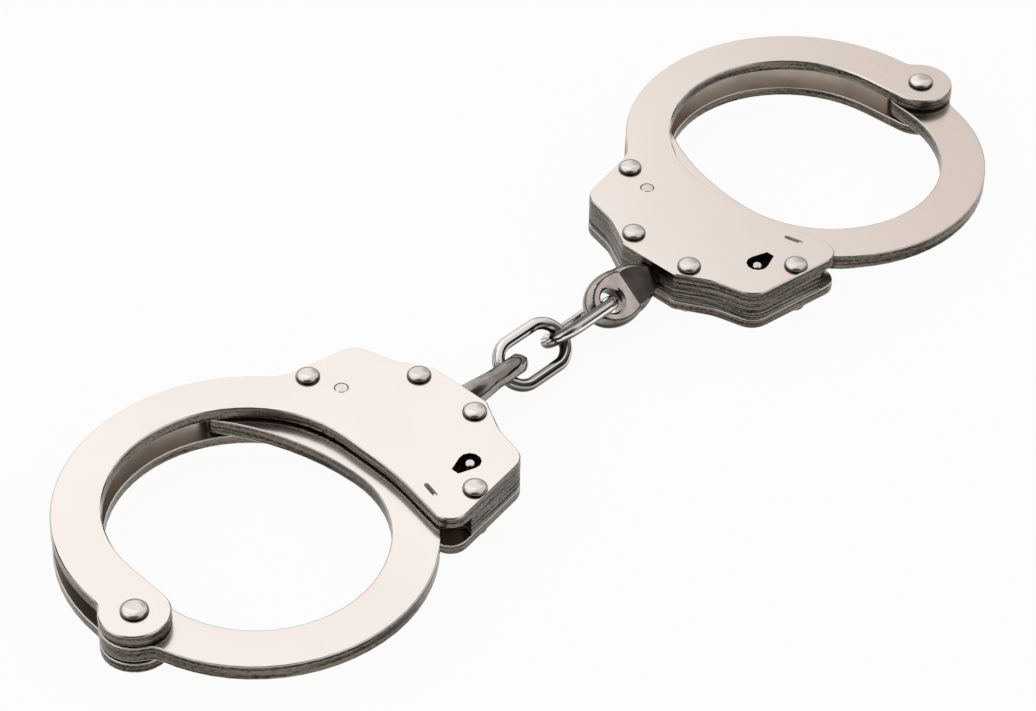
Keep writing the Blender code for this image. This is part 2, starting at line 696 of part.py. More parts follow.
def make_spring(cuff, side, steel):
    """The leaf spring: flat on the cavity's front wall, bent forward to press on the pawl's back."""
    half = SPRING_THICK / 2
    wall_x = CAVITY_X - SPRING_GAP - half
    top_y, low_y = AXIS_RISE + SPRING_TOP, AXIS_RISE + SWIVEL_HEAD_R + SPRING_END_GAP
    touch_x = pawl_back(low_y) + SPRING_GAP + half
    handles = [(wall_x, top_y), (wall_x, top_y - SPRING_BEND)]
    handles += [(touch_x, low_y + SPRING_BEND), (touch_x, low_y)]
    left, right = [], []
    for k in range(SPRING_STEPS + 1):
        t = k / SPRING_STEPS
        weights = [(1 - t) ** 3, 3 * t * (1 - t) ** 2, 3 * t * t * (1 - t), t**3]
        slopes = [-3 * (1 - t) ** 2, 3 * (1 - t) * (1 - 3 * t), 3 * t * (2 - 3 * t), 3 * t * t]
        x, y = (sum(w * h[i] for w, h in zip(weights, handles)) for i in (0, 1))
        dx, dy = (sum(s * h[i] for s, h in zip(slopes, handles)) for i in (0, 1))
        length = math.hypot(dx, dy)
        left.append((x - half * dy / length, y + half * dx / length))
        right.append((x + half * dy / length, y - half * dx / length))
    points = right + left[::-1]
    mesh = slab(points, [], FLOOR_Z + LOCK_PLATE_GAP, CEILING_Z - LOCK_PLATE_GAP)
    piece(f"{cuff.name[0]}_pawl_spring", mesh, steel, cuff, side=side)


def make_key_post(cuff, side, steel):
    """The post in the keyhole, set in the lower plate."""
    shoulder = FLOOR_Z + SEAT_GAP
    head = TOP_Z - POST_SINK
    profile = [(0.0, BOTTOM_Z), (POST_FOOT_R, BOTTOM_Z), (POST_FOOT_R, shoulder), (POST_R, shoulder)]
    profile += [(POST_R, head), (0.0, head)]
    x, y = key_place()
    piece(f"{cuff.name[0]}_key_post", turned(profile, PIN_SIDES), steel, cuff, (x, y, 0.0), side=side)


def make_double_lock(cuff, side, steel):
    """The double lock's bar with its ramped nose, and the lug that shows in the slot."""
    angle = (0.0, 0.0, math.radians(LOCK_ANGLE_DEG))
    x, y = lock_frame(0.0, 0.0)
    low, high = FLOOR_Z + LOCK_PLATE_GAP, CEILING_Z - LOCK_PLATE_GAP
    points = [
        (-LOCK_INNER, -LOCK_TAIL),
        (LOCK_OUTER, -LOCK_TAIL),
        (LOCK_OUTER, LOCK_NOSE),
        (LOCK_NOSE_INNER + LOCK_RAMP_RISE, LOCK_NOSE),
        (LOCK_NOSE_INNER, LOCK_NOSE - LOCK_RAMP_RUN),
        (LOCK_NOSE_INNER, LOCK_STEP),
        (-LOCK_INNER, LOCK_STEP),
    ]
    tag = cuff.name[0]
    bar = piece(f"{tag}_double_lock", slab(points, [], low, high), steel, cuff, (x, y, 0.0), angle, side)
    lug_low = -LOCK_TRAVEL / 2 - LUG_LENGTH / 2
    lug = [
        (-LUG_WIDTH / 2, lug_low),
        (LUG_WIDTH / 2, lug_low),
        (LUG_WIDTH / 2, lug_low + LUG_LENGTH),
        (-LUG_WIDTH / 2, lug_low + LUG_LENGTH),
    ]
    mesh = slab(lug, [], MIDDLE_Z, TOP_Z - LUG_SINK)
    tool = piece(f"{tag}_double_lock_lug", mesh, steel, cuff, (x, y, 0.0), angle, side)
    combine(bar, tool, "UNION")


def swivel_profile():
    """Half section of a swivel from the head inside the case to the rounded end past its eye."""
    head = CAVITY_X - SWIVEL_GAP
    end = head - SWIVEL_HEAD_LONG
    profile = [(0.0, end), (SWIVEL_HEAD_R, end), (SWIVEL_HEAD_R, head)]
    profile += [(NECK_SHANK_R, head), (NECK_SHANK_R, BELL_FOOT_X)]
    for k in range(BELL_STEPS + 1):
        share = k / BELL_STEPS
        swell = math.sin(math.pi / 2 * share)
        profile.append((BELL_FOOT_R + (BELL_R - BELL_FOOT_R) * swell, BELL_FOOT_X + BELL_LONG * share))
    start = math.atan2(BELL_END_X - BALL_X, BELL_R)
    for k in range(1, BALL_STEPS + 1):
        a = start + (math.pi / 2 - start) * k / BALL_STEPS
        profile.append((BALL_R * math.cos(a), BALL_X + BALL_R * math.sin(a)))
    return profile


def swivel_blank():
    """A swivel before milling: round at the neck, and flattened more and more along its bell."""
    mesh = turned(swivel_profile(), SWIVEL_SIDES)
    for vert in mesh.verts:
        share = min(1.0, max(0.0, (vert.co.z - BELL_FOOT_X) / BELL_LONG))
        vert.co.y *= 1 - BELL_FLATTEN * share
    bmesh.ops.rotate(mesh, verts=mesh.verts, matrix=Matrix.Rotation(math.pi / 2, 3, "Y"))
    return mesh


def make_swivel(cuff, side, steel, guide_steel, roll):
    """A swivel: one piece, with two flats milled on it and the eye drilled through."""
    tag = cuff.name[0]
    place = (0.0, AXIS_RISE, MIDDLE_Z)
    body = piece(f"{tag}_swivel", swivel_blank(), steel, cuff, place, (roll, 0.0, 0.0), side, 40.0)
    end = BALL_X + 2 * BALL_R
    for number, sign in enumerate((1, -1), start=1):
        box = bmesh.new()
        bmesh.ops.create_cube(box, size=1.0)
        bmesh.ops.scale(box, vec=(end - BELL_END_X, 2 * BALL_R, 4 * BALL_R), verts=box.verts)
        aside = sign * (BALL_R + EYE_THICK / 2)
        bmesh.ops.translate(box, vec=((BELL_END_X + end) / 2, aside, 0.0), verts=box.verts)
        tool = piece(f"{tag}_swivel_flat_{number}", box, guide_steel, cuff, place, (roll, 0.0, 0.0), side)
        combine(body, tool, "DIFFERENCE")
    half = EYE_THICK / 2
    wide = EYE_HOLE_R + EYE_CHAMFER
    drill = [(0.0, -2 * half), (wide + half, -2 * half), (EYE_HOLE_R, EYE_CHAMFER - half)]
    drill += [(r, -z) for r, z in reversed(drill)]
    mesh = turned(drill, SWIVEL_SIDES)
    bmesh.ops.rotate(mesh, verts=mesh.verts, matrix=Matrix.Rotation(math.pi / 2, 3, "X"))
    bmesh.ops.translate(mesh, vec=(EYE_X, 0.0, 0.0), verts=mesh.verts)
    tool = piece(f"{tag}_swivel_drill", mesh, guide_steel, cuff, place, (roll, 0.0, 0.0), side)
    combine(body, tool, "DIFFERENCE")


def link_mesh():
    """One oval link of round wire, lying in the XY plane and centred on the origin."""
    half_straight = (LINK_LONG - LINK_WIDE) / 2
    bend = LINK_WIDE / 2 - WIRE_R
    mesh = bmesh.new()
    loops = []
    for end in (1, -1):
        for k in range(LINK_STEPS + 1):
            angle = math.pi * (k / LINK_STEPS - 0.5)
            nx, ny = end * math.cos(angle), end * math.sin(angle)
            around = []
            for j in range(WIRE_SIDES):
                a = math.tau * j / WIRE_SIDES
                out = bend + WIRE_R * math.cos(a)
                spot = (end * half_straight + out * nx, out * ny, WIRE_R * math.sin(a))
                around.append(mesh.verts.new(spot))
            loops.append(around)
    for i in range(len(loops)):
        wall(mesh, loops[i - 1], loops[i])
    bmesh.ops.recalc_face_normals(mesh, faces=mesh.faces)
    return mesh


def make_chain(chain, steel):
    """The two links between the swivels, the second turned a little past a quarter turn from the first."""
    tilt = math.radians(CHAIN_TILT_DEG)
    across = tilt + math.pi / 2 + math.radians(LINK_SKEW_DEG)
    for number, (x, roll) in enumerate(((-LINK_X, tilt), (LINK_X, across)), start=1):
        place, turn = (x, 0.0, 0.0), (roll, 0.0, 0.0)
        piece(f"chain_link_{number}", link_mesh(), steel, chain, place, turn, smooth_deg=60.0)


def clear_scene():
    """Removes whatever the scene holds at the start."""
    for old in list(bpy.data.objects):
        bpy.data.objects.remove(old, do_unlink=True)


def main():
    """Builds both cuffs and the chain."""
    clear_scene()
    plate_nickel = finish("plate_nickel", *PLATE_FINISH)
    bow_nickel = finish("bow_nickel", *BOW_FINISH)
    spacer_steel = finish("spacer_steel", *SPACER_FINISH)
    rivet_nickel = finish("rivet_nickel", *RIVET_FINISH)
    lock_steel = finish("lock_steel", *LOCK_FINISH)
    chain_chrome = finish("chain_chrome", *CHAIN_FINISH)
    tilt = math.radians(CHAIN_TILT_DEG)
    for tag, side, roll in (("a", 1, tilt), ("b", -1, tilt + math.pi / 2)):
        cuff = marker(f"{tag}_cuff_pivot", (-side * PIVOT_X, -ROW_Y, 0.0))
        make_plates(cuff, side, plate_nickel)
        make_spacers(cuff, side, spacer_steel, lock_steel)
        make_rivets(cuff, side, rivet_nickel)
        make_bow(cuff, side, bow_nickel)
        make_pawl(cuff, side, lock_steel)
        make_spring(cuff, side, lock_steel)
        make_key_post(cuff, side, lock_steel)
        make_double_lock(cuff, side, lock_steel)
        make_swivel(cuff, side, chain_chrome, lock_steel, roll)
    make_chain(marker("chain_middle", (0.0, AXIS_RISE - ROW_Y, MIDDLE_Z)), chain_chrome)


main()
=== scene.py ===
"""Studio picture of a pair of chain handcuffs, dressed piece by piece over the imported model."""

from __future__ import annotations

import json
import logging
import math
from dataclasses import dataclass, field
from enum import Enum, IntEnum
from typing import Any, Sequence

import bpy
from mathutils import Matrix, Vector

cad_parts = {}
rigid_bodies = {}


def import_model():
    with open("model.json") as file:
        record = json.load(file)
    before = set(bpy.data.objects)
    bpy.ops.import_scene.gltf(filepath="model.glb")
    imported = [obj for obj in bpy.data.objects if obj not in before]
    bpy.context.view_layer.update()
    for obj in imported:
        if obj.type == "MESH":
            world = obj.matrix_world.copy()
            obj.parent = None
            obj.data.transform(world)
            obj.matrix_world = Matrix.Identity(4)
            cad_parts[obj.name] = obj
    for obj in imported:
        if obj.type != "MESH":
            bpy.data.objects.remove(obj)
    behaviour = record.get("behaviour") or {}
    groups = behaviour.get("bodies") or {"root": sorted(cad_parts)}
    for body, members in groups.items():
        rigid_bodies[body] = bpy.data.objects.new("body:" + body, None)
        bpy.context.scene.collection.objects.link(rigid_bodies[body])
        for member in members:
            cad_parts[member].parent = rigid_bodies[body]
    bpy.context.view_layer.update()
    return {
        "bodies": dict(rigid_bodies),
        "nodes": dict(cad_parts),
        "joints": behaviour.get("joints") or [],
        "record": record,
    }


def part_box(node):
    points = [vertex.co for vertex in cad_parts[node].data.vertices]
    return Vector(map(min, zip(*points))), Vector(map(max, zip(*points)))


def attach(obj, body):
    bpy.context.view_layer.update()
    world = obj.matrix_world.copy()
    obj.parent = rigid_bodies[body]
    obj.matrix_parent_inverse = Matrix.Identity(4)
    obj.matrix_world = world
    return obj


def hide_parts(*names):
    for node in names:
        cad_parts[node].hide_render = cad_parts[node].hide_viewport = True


LOG = logging.getLogger("handcuffs")

Point = tuple[float, float, float]
Colour = tuple[float, float, float]
Profile = Sequence[tuple[float, float]]

# How much of a face's normal points up or down: flat shading, face finish, edge finish, plain split.
LEVEL = 0.9995
FACE_RISE = 0.98
WALL_RISE = 0.2
HALF_RISE = 0.5

# Angles over which an edge is rounded, is shaded as a crease, or is more than a seam in a flat face.
ROUND_ANGLE = math.radians(32)
CREASE_ANGLE = math.radians(30)
FLAT_ANGLE = math.radians(0.4)

# Distances in metres under which points count as one.
SEAM = 1e-6
AXIS_SEAM = 1e-7
SLIVER = 5e-6

FACE_WEIGHT = 80
BUMP_STRENGTH = 0.35
SCRATCH_ROUGHNESS = 0.12
POLISHED_SCRATCHES = 0.6
OTHER_SCRATCHES = 0.3

CHAIN_TILT = 39.0
LINK_SKEW = 6.7


class Cuff(Enum):
    """The two cuffs, by the letter their pieces start with."""

    FIRST = "a"
    SECOND = "b"


class Surface(Enum):
    """How a finish is worked: what its fine texture looks like."""

    POLISHED = "polished"
    SHEARED = "sheared"
    # Drawn wire, whose lines along it also paint reflection streaks.
    DRAWN = "drawn"
    PLAIN = "plain"


class PaintedShadePlace(Enum):
    """Where painted shade darkens a finish."""

    NONE = "none"
    UNDERSIDE = "underside"
    FOOT = "foot"


class PlateSide(IntEnum):
    """Finishes of a plate or a bow, in slot order."""

    FACE = 0
    WALL = 1
    RIM = 2
    INNER = 3
    SLOT = 4


class SwivelSide(IntEnum):
    """Finishes of a swivel, in slot order."""

    FLAT = 0
    TURNED = 1
    ARRIS = 2
    RAMP = 3


def deselect() -> None:
    """Leaves nothing selected."""
    bpy.ops.object.select_all(action="DESELECT")


def activate(obj: bpy.types.Object) -> None:
    """Makes one object the only selected and active one.

    Args:
        obj: The object to work on.
    """
    deselect()
    obj.select_set(True)
    bpy.context.view_layer.objects.active = obj


def edit_all() -> None:
    """Enters edit mode on the active object with everything selected."""
    bpy.ops.object.mode_set(mode="EDIT")
    bpy.ops.mesh.select_all(action="SELECT")


def apply_modifiers(obj: bpy.types.Object) -> None:
    """Applies every modifier of an object in order.

    Args:
        obj: The object to settle.
    """
    activate(obj)
    for modifier in list(obj.modifiers):
        bpy.ops.object.modifier_apply(modifier=modifier.name)


def soften_edges(obj: bpy.types.Object, width: float, segments: int, by_weight: bool = False) -> None:
    """Rounds the sharp edges of a piece, keeps its level faces flat and evens the other shading.

    Args:
        obj: The piece.
        width: Width of the rounding in metres.
        segments: Steps across the rounding.
        by_weight: Whether the edges' own weights choose the edges, instead of their angle.
    """
    bevel = obj.modifiers.new("edge_round", "BEVEL")
    bevel.width = width
    bevel.segments = segments
    bevel.limit_method = "WEIGHT" if by_weight else "ANGLE"
    bevel.angle_limit = ROUND_ANGLE
    bevel.miter_outer = "MITER_ARC"
    bevel.use_clamp_overlap = True
    bevel.loop_slide = False
    apply_modifiers(obj)
    bpy.ops.object.shade_smooth()
    for face in obj.data.polygons:
        face.use_smooth = abs(face.normal.z) < LEVEL
    even = obj.modifiers.new("even_shading", "WEIGHTED_NORMAL")
    even.weight = FACE_WEIGHT
    even.keep_sharp = True
    apply_modifiers(obj)


def cad_copy(node: str, name: str, frame: dict) -> bpy.types.Object:
    """Copies a node's mesh, closes its seams and clears its flat faces of needless edges.

    Args:
        node: The node to copy.
        name: Name of the copy.
        frame: The loaded frame.

    Returns:
        The copy as an object at the origin.
    """
    mesh = frame["nodes"][node].data.copy()
    mesh.name = name
    mesh.materials.clear()
    obj = bpy.data.objects.new(name, mesh)
    bpy.context.scene.collection.objects.link(obj)
    activate(obj)
    edit_all()
    bpy.ops.mesh.customdata_custom_splitnormals_clear()
    bpy.ops.mesh.remove_doubles(threshold=SEAM)
    bpy.ops.mesh.dissolve_limited(angle_limit=FLAT_ANGLE)
    bpy.ops.object.mode_set(mode="OBJECT")
    return obj


def drawn(name: str, points: Profile) -> bpy.types.Object:
    """Draws a line point by point in the XZ plane.

    Args:
        name: Name of the piece.
        points: X and Z of each point.

    Returns:
        The line, still in edit mode.
    """
    deselect()
    bpy.ops.mesh.primitive_plane_add(size=0.001)
    obj = bpy.context.object
    obj.name = name
    obj.data.name = name
    edit_all()
    bpy.ops.mesh.merge(type="CENTER")
    bpy.ops.transform.translate(value=(points[0][0], 0.0, points[0][1]))
    for (x0, z0), (x1, z1) in zip(points, points[1:]):
        bpy.ops.mesh.extrude_region_move(TRANSFORM_OT_translate={"value": (x1 - x0, 0.0, z1 - z0)})
    bpy.ops.mesh.select_all(action="SELECT")
    return obj


def spun(name: str, profile: Profile, steps: int) -> bpy.types.Object:
    """Spins a profile about Z into a closed round piece.

    Args:
        name: Name of the piece.
        profile: Radius and height of each point, both ends on the axis.
        steps: Steps round the axis.

    Returns:
        The piece, standing on the origin.
    """
    obj = drawn(name, profile)
    bpy.ops.mesh.spin(steps=steps, angle=math.tau, center=(0, 0, 0), axis=(0, 0, 1))
    bpy.ops.mesh.select_all(action="SELECT")
    bpy.ops.mesh.remove_doubles(threshold=AXIS_SEAM)
    bpy.ops.mesh.normals_make_consistent(inside=False)
    bpy.ops.object.mode_set(mode="OBJECT")
    return obj


def spun_on(node: str, name: str, profile: Profile, steps: int) -> bpy.types.Object:
    """Spins a round piece, stands it on its node's axis and shades it.

    Args:
        node: The node it stands for.
        name: Name of the piece.
        profile: Its half section from the node's lowest point up.
        steps: Steps round the axis.

    Returns:
        The piece in place.
    """
    low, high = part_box(node)
    obj = spun(name, profile, steps)
    obj.data.transform(Matrix.Translation(((low.x + high.x) / 2, (low.y + high.y) / 2, low.z)))
    activate(obj)
    bpy.ops.object.shade_smooth_by_angle(angle=CREASE_ANGLE)
    return obj


def prism(name: str, outline: Profile, depth: float) -> bpy.types.Object:
    """Fills an outline in the XZ plane and extrudes it along Y, half to each side.

    Args:
        name: Name of the piece.
        outline: X and Z of its corners.
        depth: Its depth along Y.

    Returns:
        The piece.
    """
    obj = drawn(name, outline)
    bpy.ops.mesh.edge_face_add()
    bpy.ops.mesh.extrude_region_move(TRANSFORM_OT_translate={"value": (0.0, depth, 0.0)})
    bpy.ops.mesh.select_all(action="SELECT")
    bpy.ops.transform.translate(value=(0.0, -depth / 2, 0.0))
    bpy.ops.mesh.normals_make_consistent(inside=False)
    bpy.ops.object.mode_set(mode="OBJECT")
    return obj


def add_node(
    tree: bpy.types.NodeTree,
    kind: str,
    inputs: dict[Any, Any] | None = None,
    **settings: Any,
) -> bpy.types.Node:
    """Adds a shader node, sets it up and feeds it.

    Args:
        tree: The tree it goes into.
        kind: Its type, without the word ShaderNode.
        inputs: What feeds each input, a socket to link or a value to set.
        settings: Its own settings, such as its operation.

    Returns:
        The node.
    """
    node = tree.nodes.new(f"ShaderNode{kind}")
    for name, value in settings.items():
        setattr(node, name, value)
    for key, source in (inputs or {}).items():
        if isinstance(source, bpy.types.NodeSocket):
            tree.links.new(source, node.inputs[key])
        else:
            node.inputs[key].default_value = source
    return node


def maths(tree: bpy.types.NodeTree, operation: str, *terms: Any) -> bpy.types.NodeSocket:
    """Adds one step of arithmetic.

    Args:
        tree: The node tree.
        operation: What it does.
        terms: Sockets or numbers it works on.

    Returns:
        The result.
    """
    return add_node(tree, "Math", dict(enumerate(terms)), operation=operation).outputs[0]


def step_between(
    tree: bpy.types.NodeTree,
    value: bpy.types.NodeSocket,
    start: Any,
    end: Any,
    low: float = 0.0,
    high: float = 1.0,
    smooth: bool = False,
) -> bpy.types.NodeSocket:
    """Turns a value into a step from one level to another.

    Args:
        tree: The node tree.
        value: The value.
        start: Where the step starts, a number or a socket.
        end: Where it ends.
        low: Result before it.
        high: Result after it.
        smooth: Whether its ends are eased.

    Returns:
        The result.
    """
    inputs = {"Value": value, "From Min": start, "From Max": end, "To Min": low, "To Max": high}
    easing = "SMOOTHSTEP" if smooth else "LINEAR"
    return add_node(tree, "MapRange", inputs, interpolation_type=easing).outputs["Result"]


def mixed(tree: bpy.types.NodeTree, share: Any, low: Any, high: Any) -> bpy.types.NodeSocket:
    """Mixes two colours.

    Args:
        tree: The node tree.
        share: How much of the second, from 0 to 1.
        low: The first colour, a socket or red, green, blue and alpha.
        high: The second colour.

    Returns:
        The colour.
    """
    inputs = {"A": low, "B": high, "Factor": share}
    return add_node(tree, "Mix", inputs, data_type="RGBA").outputs["Result"]


class TextureShop:
    """Shader groups that several finishes share, each built once."""

    def __init__(self) -> None:
        """Builds the groups."""
        self.bloom = self._bloom()
        self.hairlines = self._hairlines()
        self.striations = self._striations()
        self.drawn_lines_and_painted_streaks = self._drawn_lines_and_painted_streaks()
        self.underside = self._underside()
        self.foot = self._foot()

    @staticmethod
    def _start(
        name: str, values: dict[str, float]
    ) -> tuple[bpy.types.NodeTree, bpy.types.Node, bpy.types.Node]:
        """Starts a group with its number inputs and its coordinates.

        Args:
            name: Name of the group.
            values: Its inputs with their starting values.

        Returns:
            The group, its input node and its coordinate node.
        """
        tree = bpy.data.node_groups.new(name, "ShaderNodeTree")
        for key, value in values.items():
            socket = tree.interface.new_socket(key, in_out="INPUT", socket_type="NodeSocketFloat")
            socket.default_value = value
        return tree, tree.nodes.new("NodeGroupInput"), add_node(tree, "TexCoord")

    @staticmethod
    def _finish(tree: bpy.types.NodeTree, name: str, result: bpy.types.NodeSocket) -> bpy.types.NodeTree:
        """Puts a group's result out.

        Args:
            tree: The group.
            name: Name of its output.
            result: What it puts out.

        Returns:
            The group.
        """
        tree.interface.new_socket(name, in_out="OUTPUT", socket_type="NodeSocketFloat")
        end = tree.nodes.new("NodeGroupOutput")
        tree.links.new(result, end.inputs[name])
        return tree

    def _bloom(self) -> bpy.types.NodeTree:
        """Soft clouds in the plating, as handling leaves them.

        Returns:
            A group with a Tone from 0 to 1.
        """
        tree, start, place = self._start("plating_bloom", {"Scale": 40.0})
        inputs = {"Vector": place.outputs["Object"], "Scale": start.outputs["Scale"]}
        clouds = add_node(tree, "TexNoise", {**inputs, "Detail": 4.0, "Roughness": 0.55})
        return self._finish(tree, "Tone", step_between(tree, clouds.outputs["Fac"], 0.3, 0.7))

    def _hairlines(self) -> bpy.types.NodeTree:
        """Sparse fine scratches in two directions.

        Returns:
            A group with a Mask that is 1 in a scratch.
        """
        tree, start, place = self._start("hairlines", {"Amount": 0.5})
        masks = []
        for turn, stretch in ((25.0, (900.0, 22.0, 22.0)), (-50.0, (700.0, 18.0, 18.0))):
            turned = {"Rotation": (0.0, 0.0, math.radians(turn)), "Scale": stretch}
            lay = add_node(tree, "Mapping", {"Vector": place.outputs["Object"], **turned})
            inputs = {"Vector": lay.outputs["Vector"], "Scale": 3.0, "Detail": 2.0}
            noise = add_node(tree, "TexNoise", inputs)
            masks.append(step_between(tree, noise.outputs["Fac"], 0.66, 0.78))
        both = maths(tree, "MAXIMUM", *masks)
        return self._finish(tree, "Mask", maths(tree, "MULTIPLY", both, start.outputs["Amount"]))

    def _striations(self) -> bpy.types.NodeTree:
        """Fine level lines and grain round a blanked edge.

        Returns:
            A group with a Tone from 0 to 1.
        """
        tree, start, place = self._start("blanking_lines", {"Scale": 1.0})
        tones = []
        for stretch, reach in (((60.0, 60.0, 2600.0), 0.12), ((1700.0, 1700.0, 4200.0), 0.16)):
            lay = add_node(tree, "Mapping", {"Vector": place.outputs["Object"], "Scale": stretch})
            inputs = {"Vector": lay.outputs["Vector"], "Scale": start.outputs["Scale"]}
            noise = add_node(tree, "TexNoise", {**inputs, "Detail": 3.0, "Roughness": 0.6})
            tones.append(step_between(tree, noise.outputs["Fac"], 0.5 - reach, 0.5 + reach))
        both = add_node(tree, "Mix", {"Factor": 0.45, "A": tones[0], "B": tones[1]})
        return self._finish(tree, "Tone", step_between(tree, both.outputs["Result"], 0.2, 0.8))

    def _drawn_lines_and_painted_streaks(self) -> bpy.types.NodeTree:
        """Long lines along a drawn wire, on the wire's own coordinates, light and dark enough to paint
        reflection streaks.

        Returns:
            A group with a Tone from 0 to 1.
        """
        tree, start, place = self._start("drawn_lines_and_painted_streaks", {"Scale": 1.0})
        lay = add_node(tree, "Mapping", {"Vector": place.outputs["UV"], "Scale": (2.0, 11.0, 1.0)})
        inputs = {"Vector": lay.outputs["Vector"], "Scale": start.outputs["Scale"]}
        noise = add_node(tree, "TexNoise", {**inputs, "Detail": 3.0, "Roughness": 0.5})
        lines = step_between(tree, noise.outputs["Fac"], 0.40, 0.60, smooth=True)
        return self._finish(tree, "Tone", lines)

    def _underside(self) -> bpy.types.NodeTree:
        """Painted shade on what looks down.

        Returns:
            A group with a Mask that is 1 on an underside.
        """
        tree, start, place = self._start("underside", {"Start": 0.30, "End": -0.25})
        rise = add_node(tree, "SeparateXYZ", {0: place.outputs["Normal"]}).outputs["Z"]
        mask = step_between(tree, rise, start.outputs["Start"], start.outputs["End"], smooth=True)
        return self._finish(tree, "Mask", mask)

    def _foot(self) -> bpy.types.NodeTree:
        """Painted shade in the corner where a head sits on its plate, above and below alike.

        Returns:
            A group with a Mask that is 1 at the plate and 0 higher up.
        """
        values = {"Middle": 0.005625, "Reach": 0.004425, "Start": 0.00025, "Fade": 0.0009}
        tree, start, place = self._start("foot", values)
        height = add_node(tree, "SeparateXYZ", {0: place.outputs["Object"]}).outputs["Z"]
        off = maths(tree, "ABSOLUTE", maths(tree, "SUBTRACT", height, start.outputs["Middle"]))
        over = maths(tree, "SUBTRACT", off, start.outputs["Reach"])
        ends = (start.outputs["Start"], start.outputs["Fade"])
        return self._finish(tree, "Mask", step_between(tree, over, *ends, 1.0, 0.0, smooth=True))


@dataclass(frozen=True)
class Finish:
    """One metal finish.

    Attributes:
        name: Name of its material.
        light: Colour where it is cleanest, at the light end of its pattern.
        dark: Colour where it is dullest; on the wire and the turned swivel it also paints dark
            reflections.
        roughness: Roughness where it is cleanest.
        haze: Extra roughness where it is dullest.
        surface: How it is worked.
        grain: Scale of its clouds or lines.
        relief: Height of its fine texture in metres.
        painted_shade: Where shade is painted on it.
        painted_shade_colour: Colour of that painted shade.
    """

    name: str
    light: Colour
    dark: Colour
    roughness: float
    haze: float
    surface: Surface
    grain: float
    relief: float
    # Painted shade: where it darkens the finish, and the colour it darkens towards.
    painted_shade: PaintedShadePlace = PaintedShadePlace.NONE
    painted_shade_colour: Colour = (0.03, 0.025, 0.02)

    def material(self, textures: TextureShop) -> bpy.types.Material:
        """Builds the material.

        Args:
            textures: The shared shader groups.

        Returns:
            The material, or the one already built.
        """
        made = bpy.data.materials.get(self.name)
        if made is not None:
            return made
        made = bpy.data.materials.new(self.name)
        made.use_nodes = True
        tree = made.node_tree
        tone = add_node(tree, "Group", {"Scale": self.grain}, node_tree=self._pattern(textures))
        tone = tone.outputs["Tone"]
        amount = POLISHED_SCRATCHES if self.surface is Surface.POLISHED else OTHER_SCRATCHES
        scratch = add_node(tree, "Group", {"Amount": amount}, node_tree=textures.hairlines)
        scratch = scratch.outputs["Mask"]
        height = tone if self.surface is Surface.SHEARED else scratch
        relief = {"Distance": self.relief, "Strength": BUMP_STRENGTH, "Height": height}
        hazy = maths(tree, "MULTIPLY_ADD", tone, self.haze, self.roughness)
        patterned = mixed(tree, tone, (*self.light, 1.0), (*self.dark, 1.0))
        shader = tree.nodes["Principled BSDF"].inputs
        shader["Metallic"].default_value = 1.0
        tree.links.new(self._add_painted_shade(tree, textures, patterned), shader["Base Color"])
        rough = maths(tree, "MULTIPLY_ADD", scratch, SCRATCH_ROUGHNESS, hazy)
        tree.links.new(rough, shader["Roughness"])
        tree.links.new(add_node(tree, "Bump", relief).outputs["Normal"], shader["Normal"])
        return made

    def _pattern(self, textures: TextureShop) -> bpy.types.NodeTree:
        """Chooses the group that draws this finish's main pattern.

        Args:
            textures: The shared shader groups.

        Returns:
            The group.
        """
        if self.surface is Surface.SHEARED:
            return textures.striations
        return textures.drawn_lines_and_painted_streaks if self.surface is Surface.DRAWN else textures.bloom

    def _add_painted_shade(
        self, tree: bpy.types.NodeTree, textures: TextureShop, patterned: bpy.types.NodeSocket
    ) -> bpy.types.NodeSocket:
        """Darkens the colour with painted shade, under what looks down or at a head's foot.

        Args:
            tree: The material's nodes.
            textures: The shared shader groups.
            patterned: The colour without the painted shade.

        Returns:
            The colour with the painted shade.
        """
        if self.painted_shade is PaintedShadePlace.NONE:
            return patterned
        group = textures.underside if self.painted_shade is PaintedShadePlace.UNDERSIDE else textures.foot
        mask = add_node(tree, "Group", node_tree=group).outputs["Mask"]
        return mixed(tree, mask, patterned, (*self.painted_shade_colour, 1.0))


PLATE_FACE = Finish(
    "plate_face", (0.945, 0.885, 0.84), (0.905, 0.84, 0.79), 0.16, 0.06, Surface.POLISHED, 30.0, 1e-5
)
# Plate walls: sheared grain on a near-black colour, partly the edge's own duller tone and partly painted
# shade.
PLATE_EDGE = Finish(
    "plate_edge", (0.20, 0.172, 0.143), (0.010, 0.008, 0.006), 0.24, 0.12, Surface.SHEARED, 1.0, 4e-5
)
# Plate roundings: a darker copy of the face's plating, painting a shaded line along the rims.
PLATE_RIM = Finish(
    "plate_rim", (0.82, 0.76, 0.71), (0.64, 0.57, 0.52), 0.09, 0.05, Surface.POLISHED, 80.0, 1e-5
)
# Faces between the plates: a duller finish, darker with painted shade in the gap.
PLATE_INNER = Finish(
    "plate_inner", (0.52, 0.455, 0.40), (0.30, 0.255, 0.22), 0.26, 0.12, Surface.PLAIN, 60.0, 2e-5
)
PLATE_SLOT = Finish(
    "plate_slot", (0.95, 0.90, 0.86), (0.88, 0.82, 0.77), 0.62, 0.08, Surface.PLAIN, 150.0, 1e-5
)
BOW_FACE = Finish(
    "bow_face", (0.945, 0.88, 0.835), (0.90, 0.83, 0.78), 0.17, 0.06, Surface.POLISHED, 26.0, 1e-5
)
# Bow walls: darkened the same way, partly with painted shade.
BOW_EDGE = Finish(
    "bow_edge", (0.19, 0.163, 0.135), (0.016, 0.013, 0.010), 0.22, 0.12, Surface.SHEARED, 0.8, 4e-5
)
# Bow roundings: a darker copy of its plating, painting a shaded line along the rims.
BOW_RIM = Finish(
    "bow_rim", (0.80, 0.74, 0.69), (0.62, 0.55, 0.50), 0.09, 0.05, Surface.POLISHED, 80.0, 1e-5
)
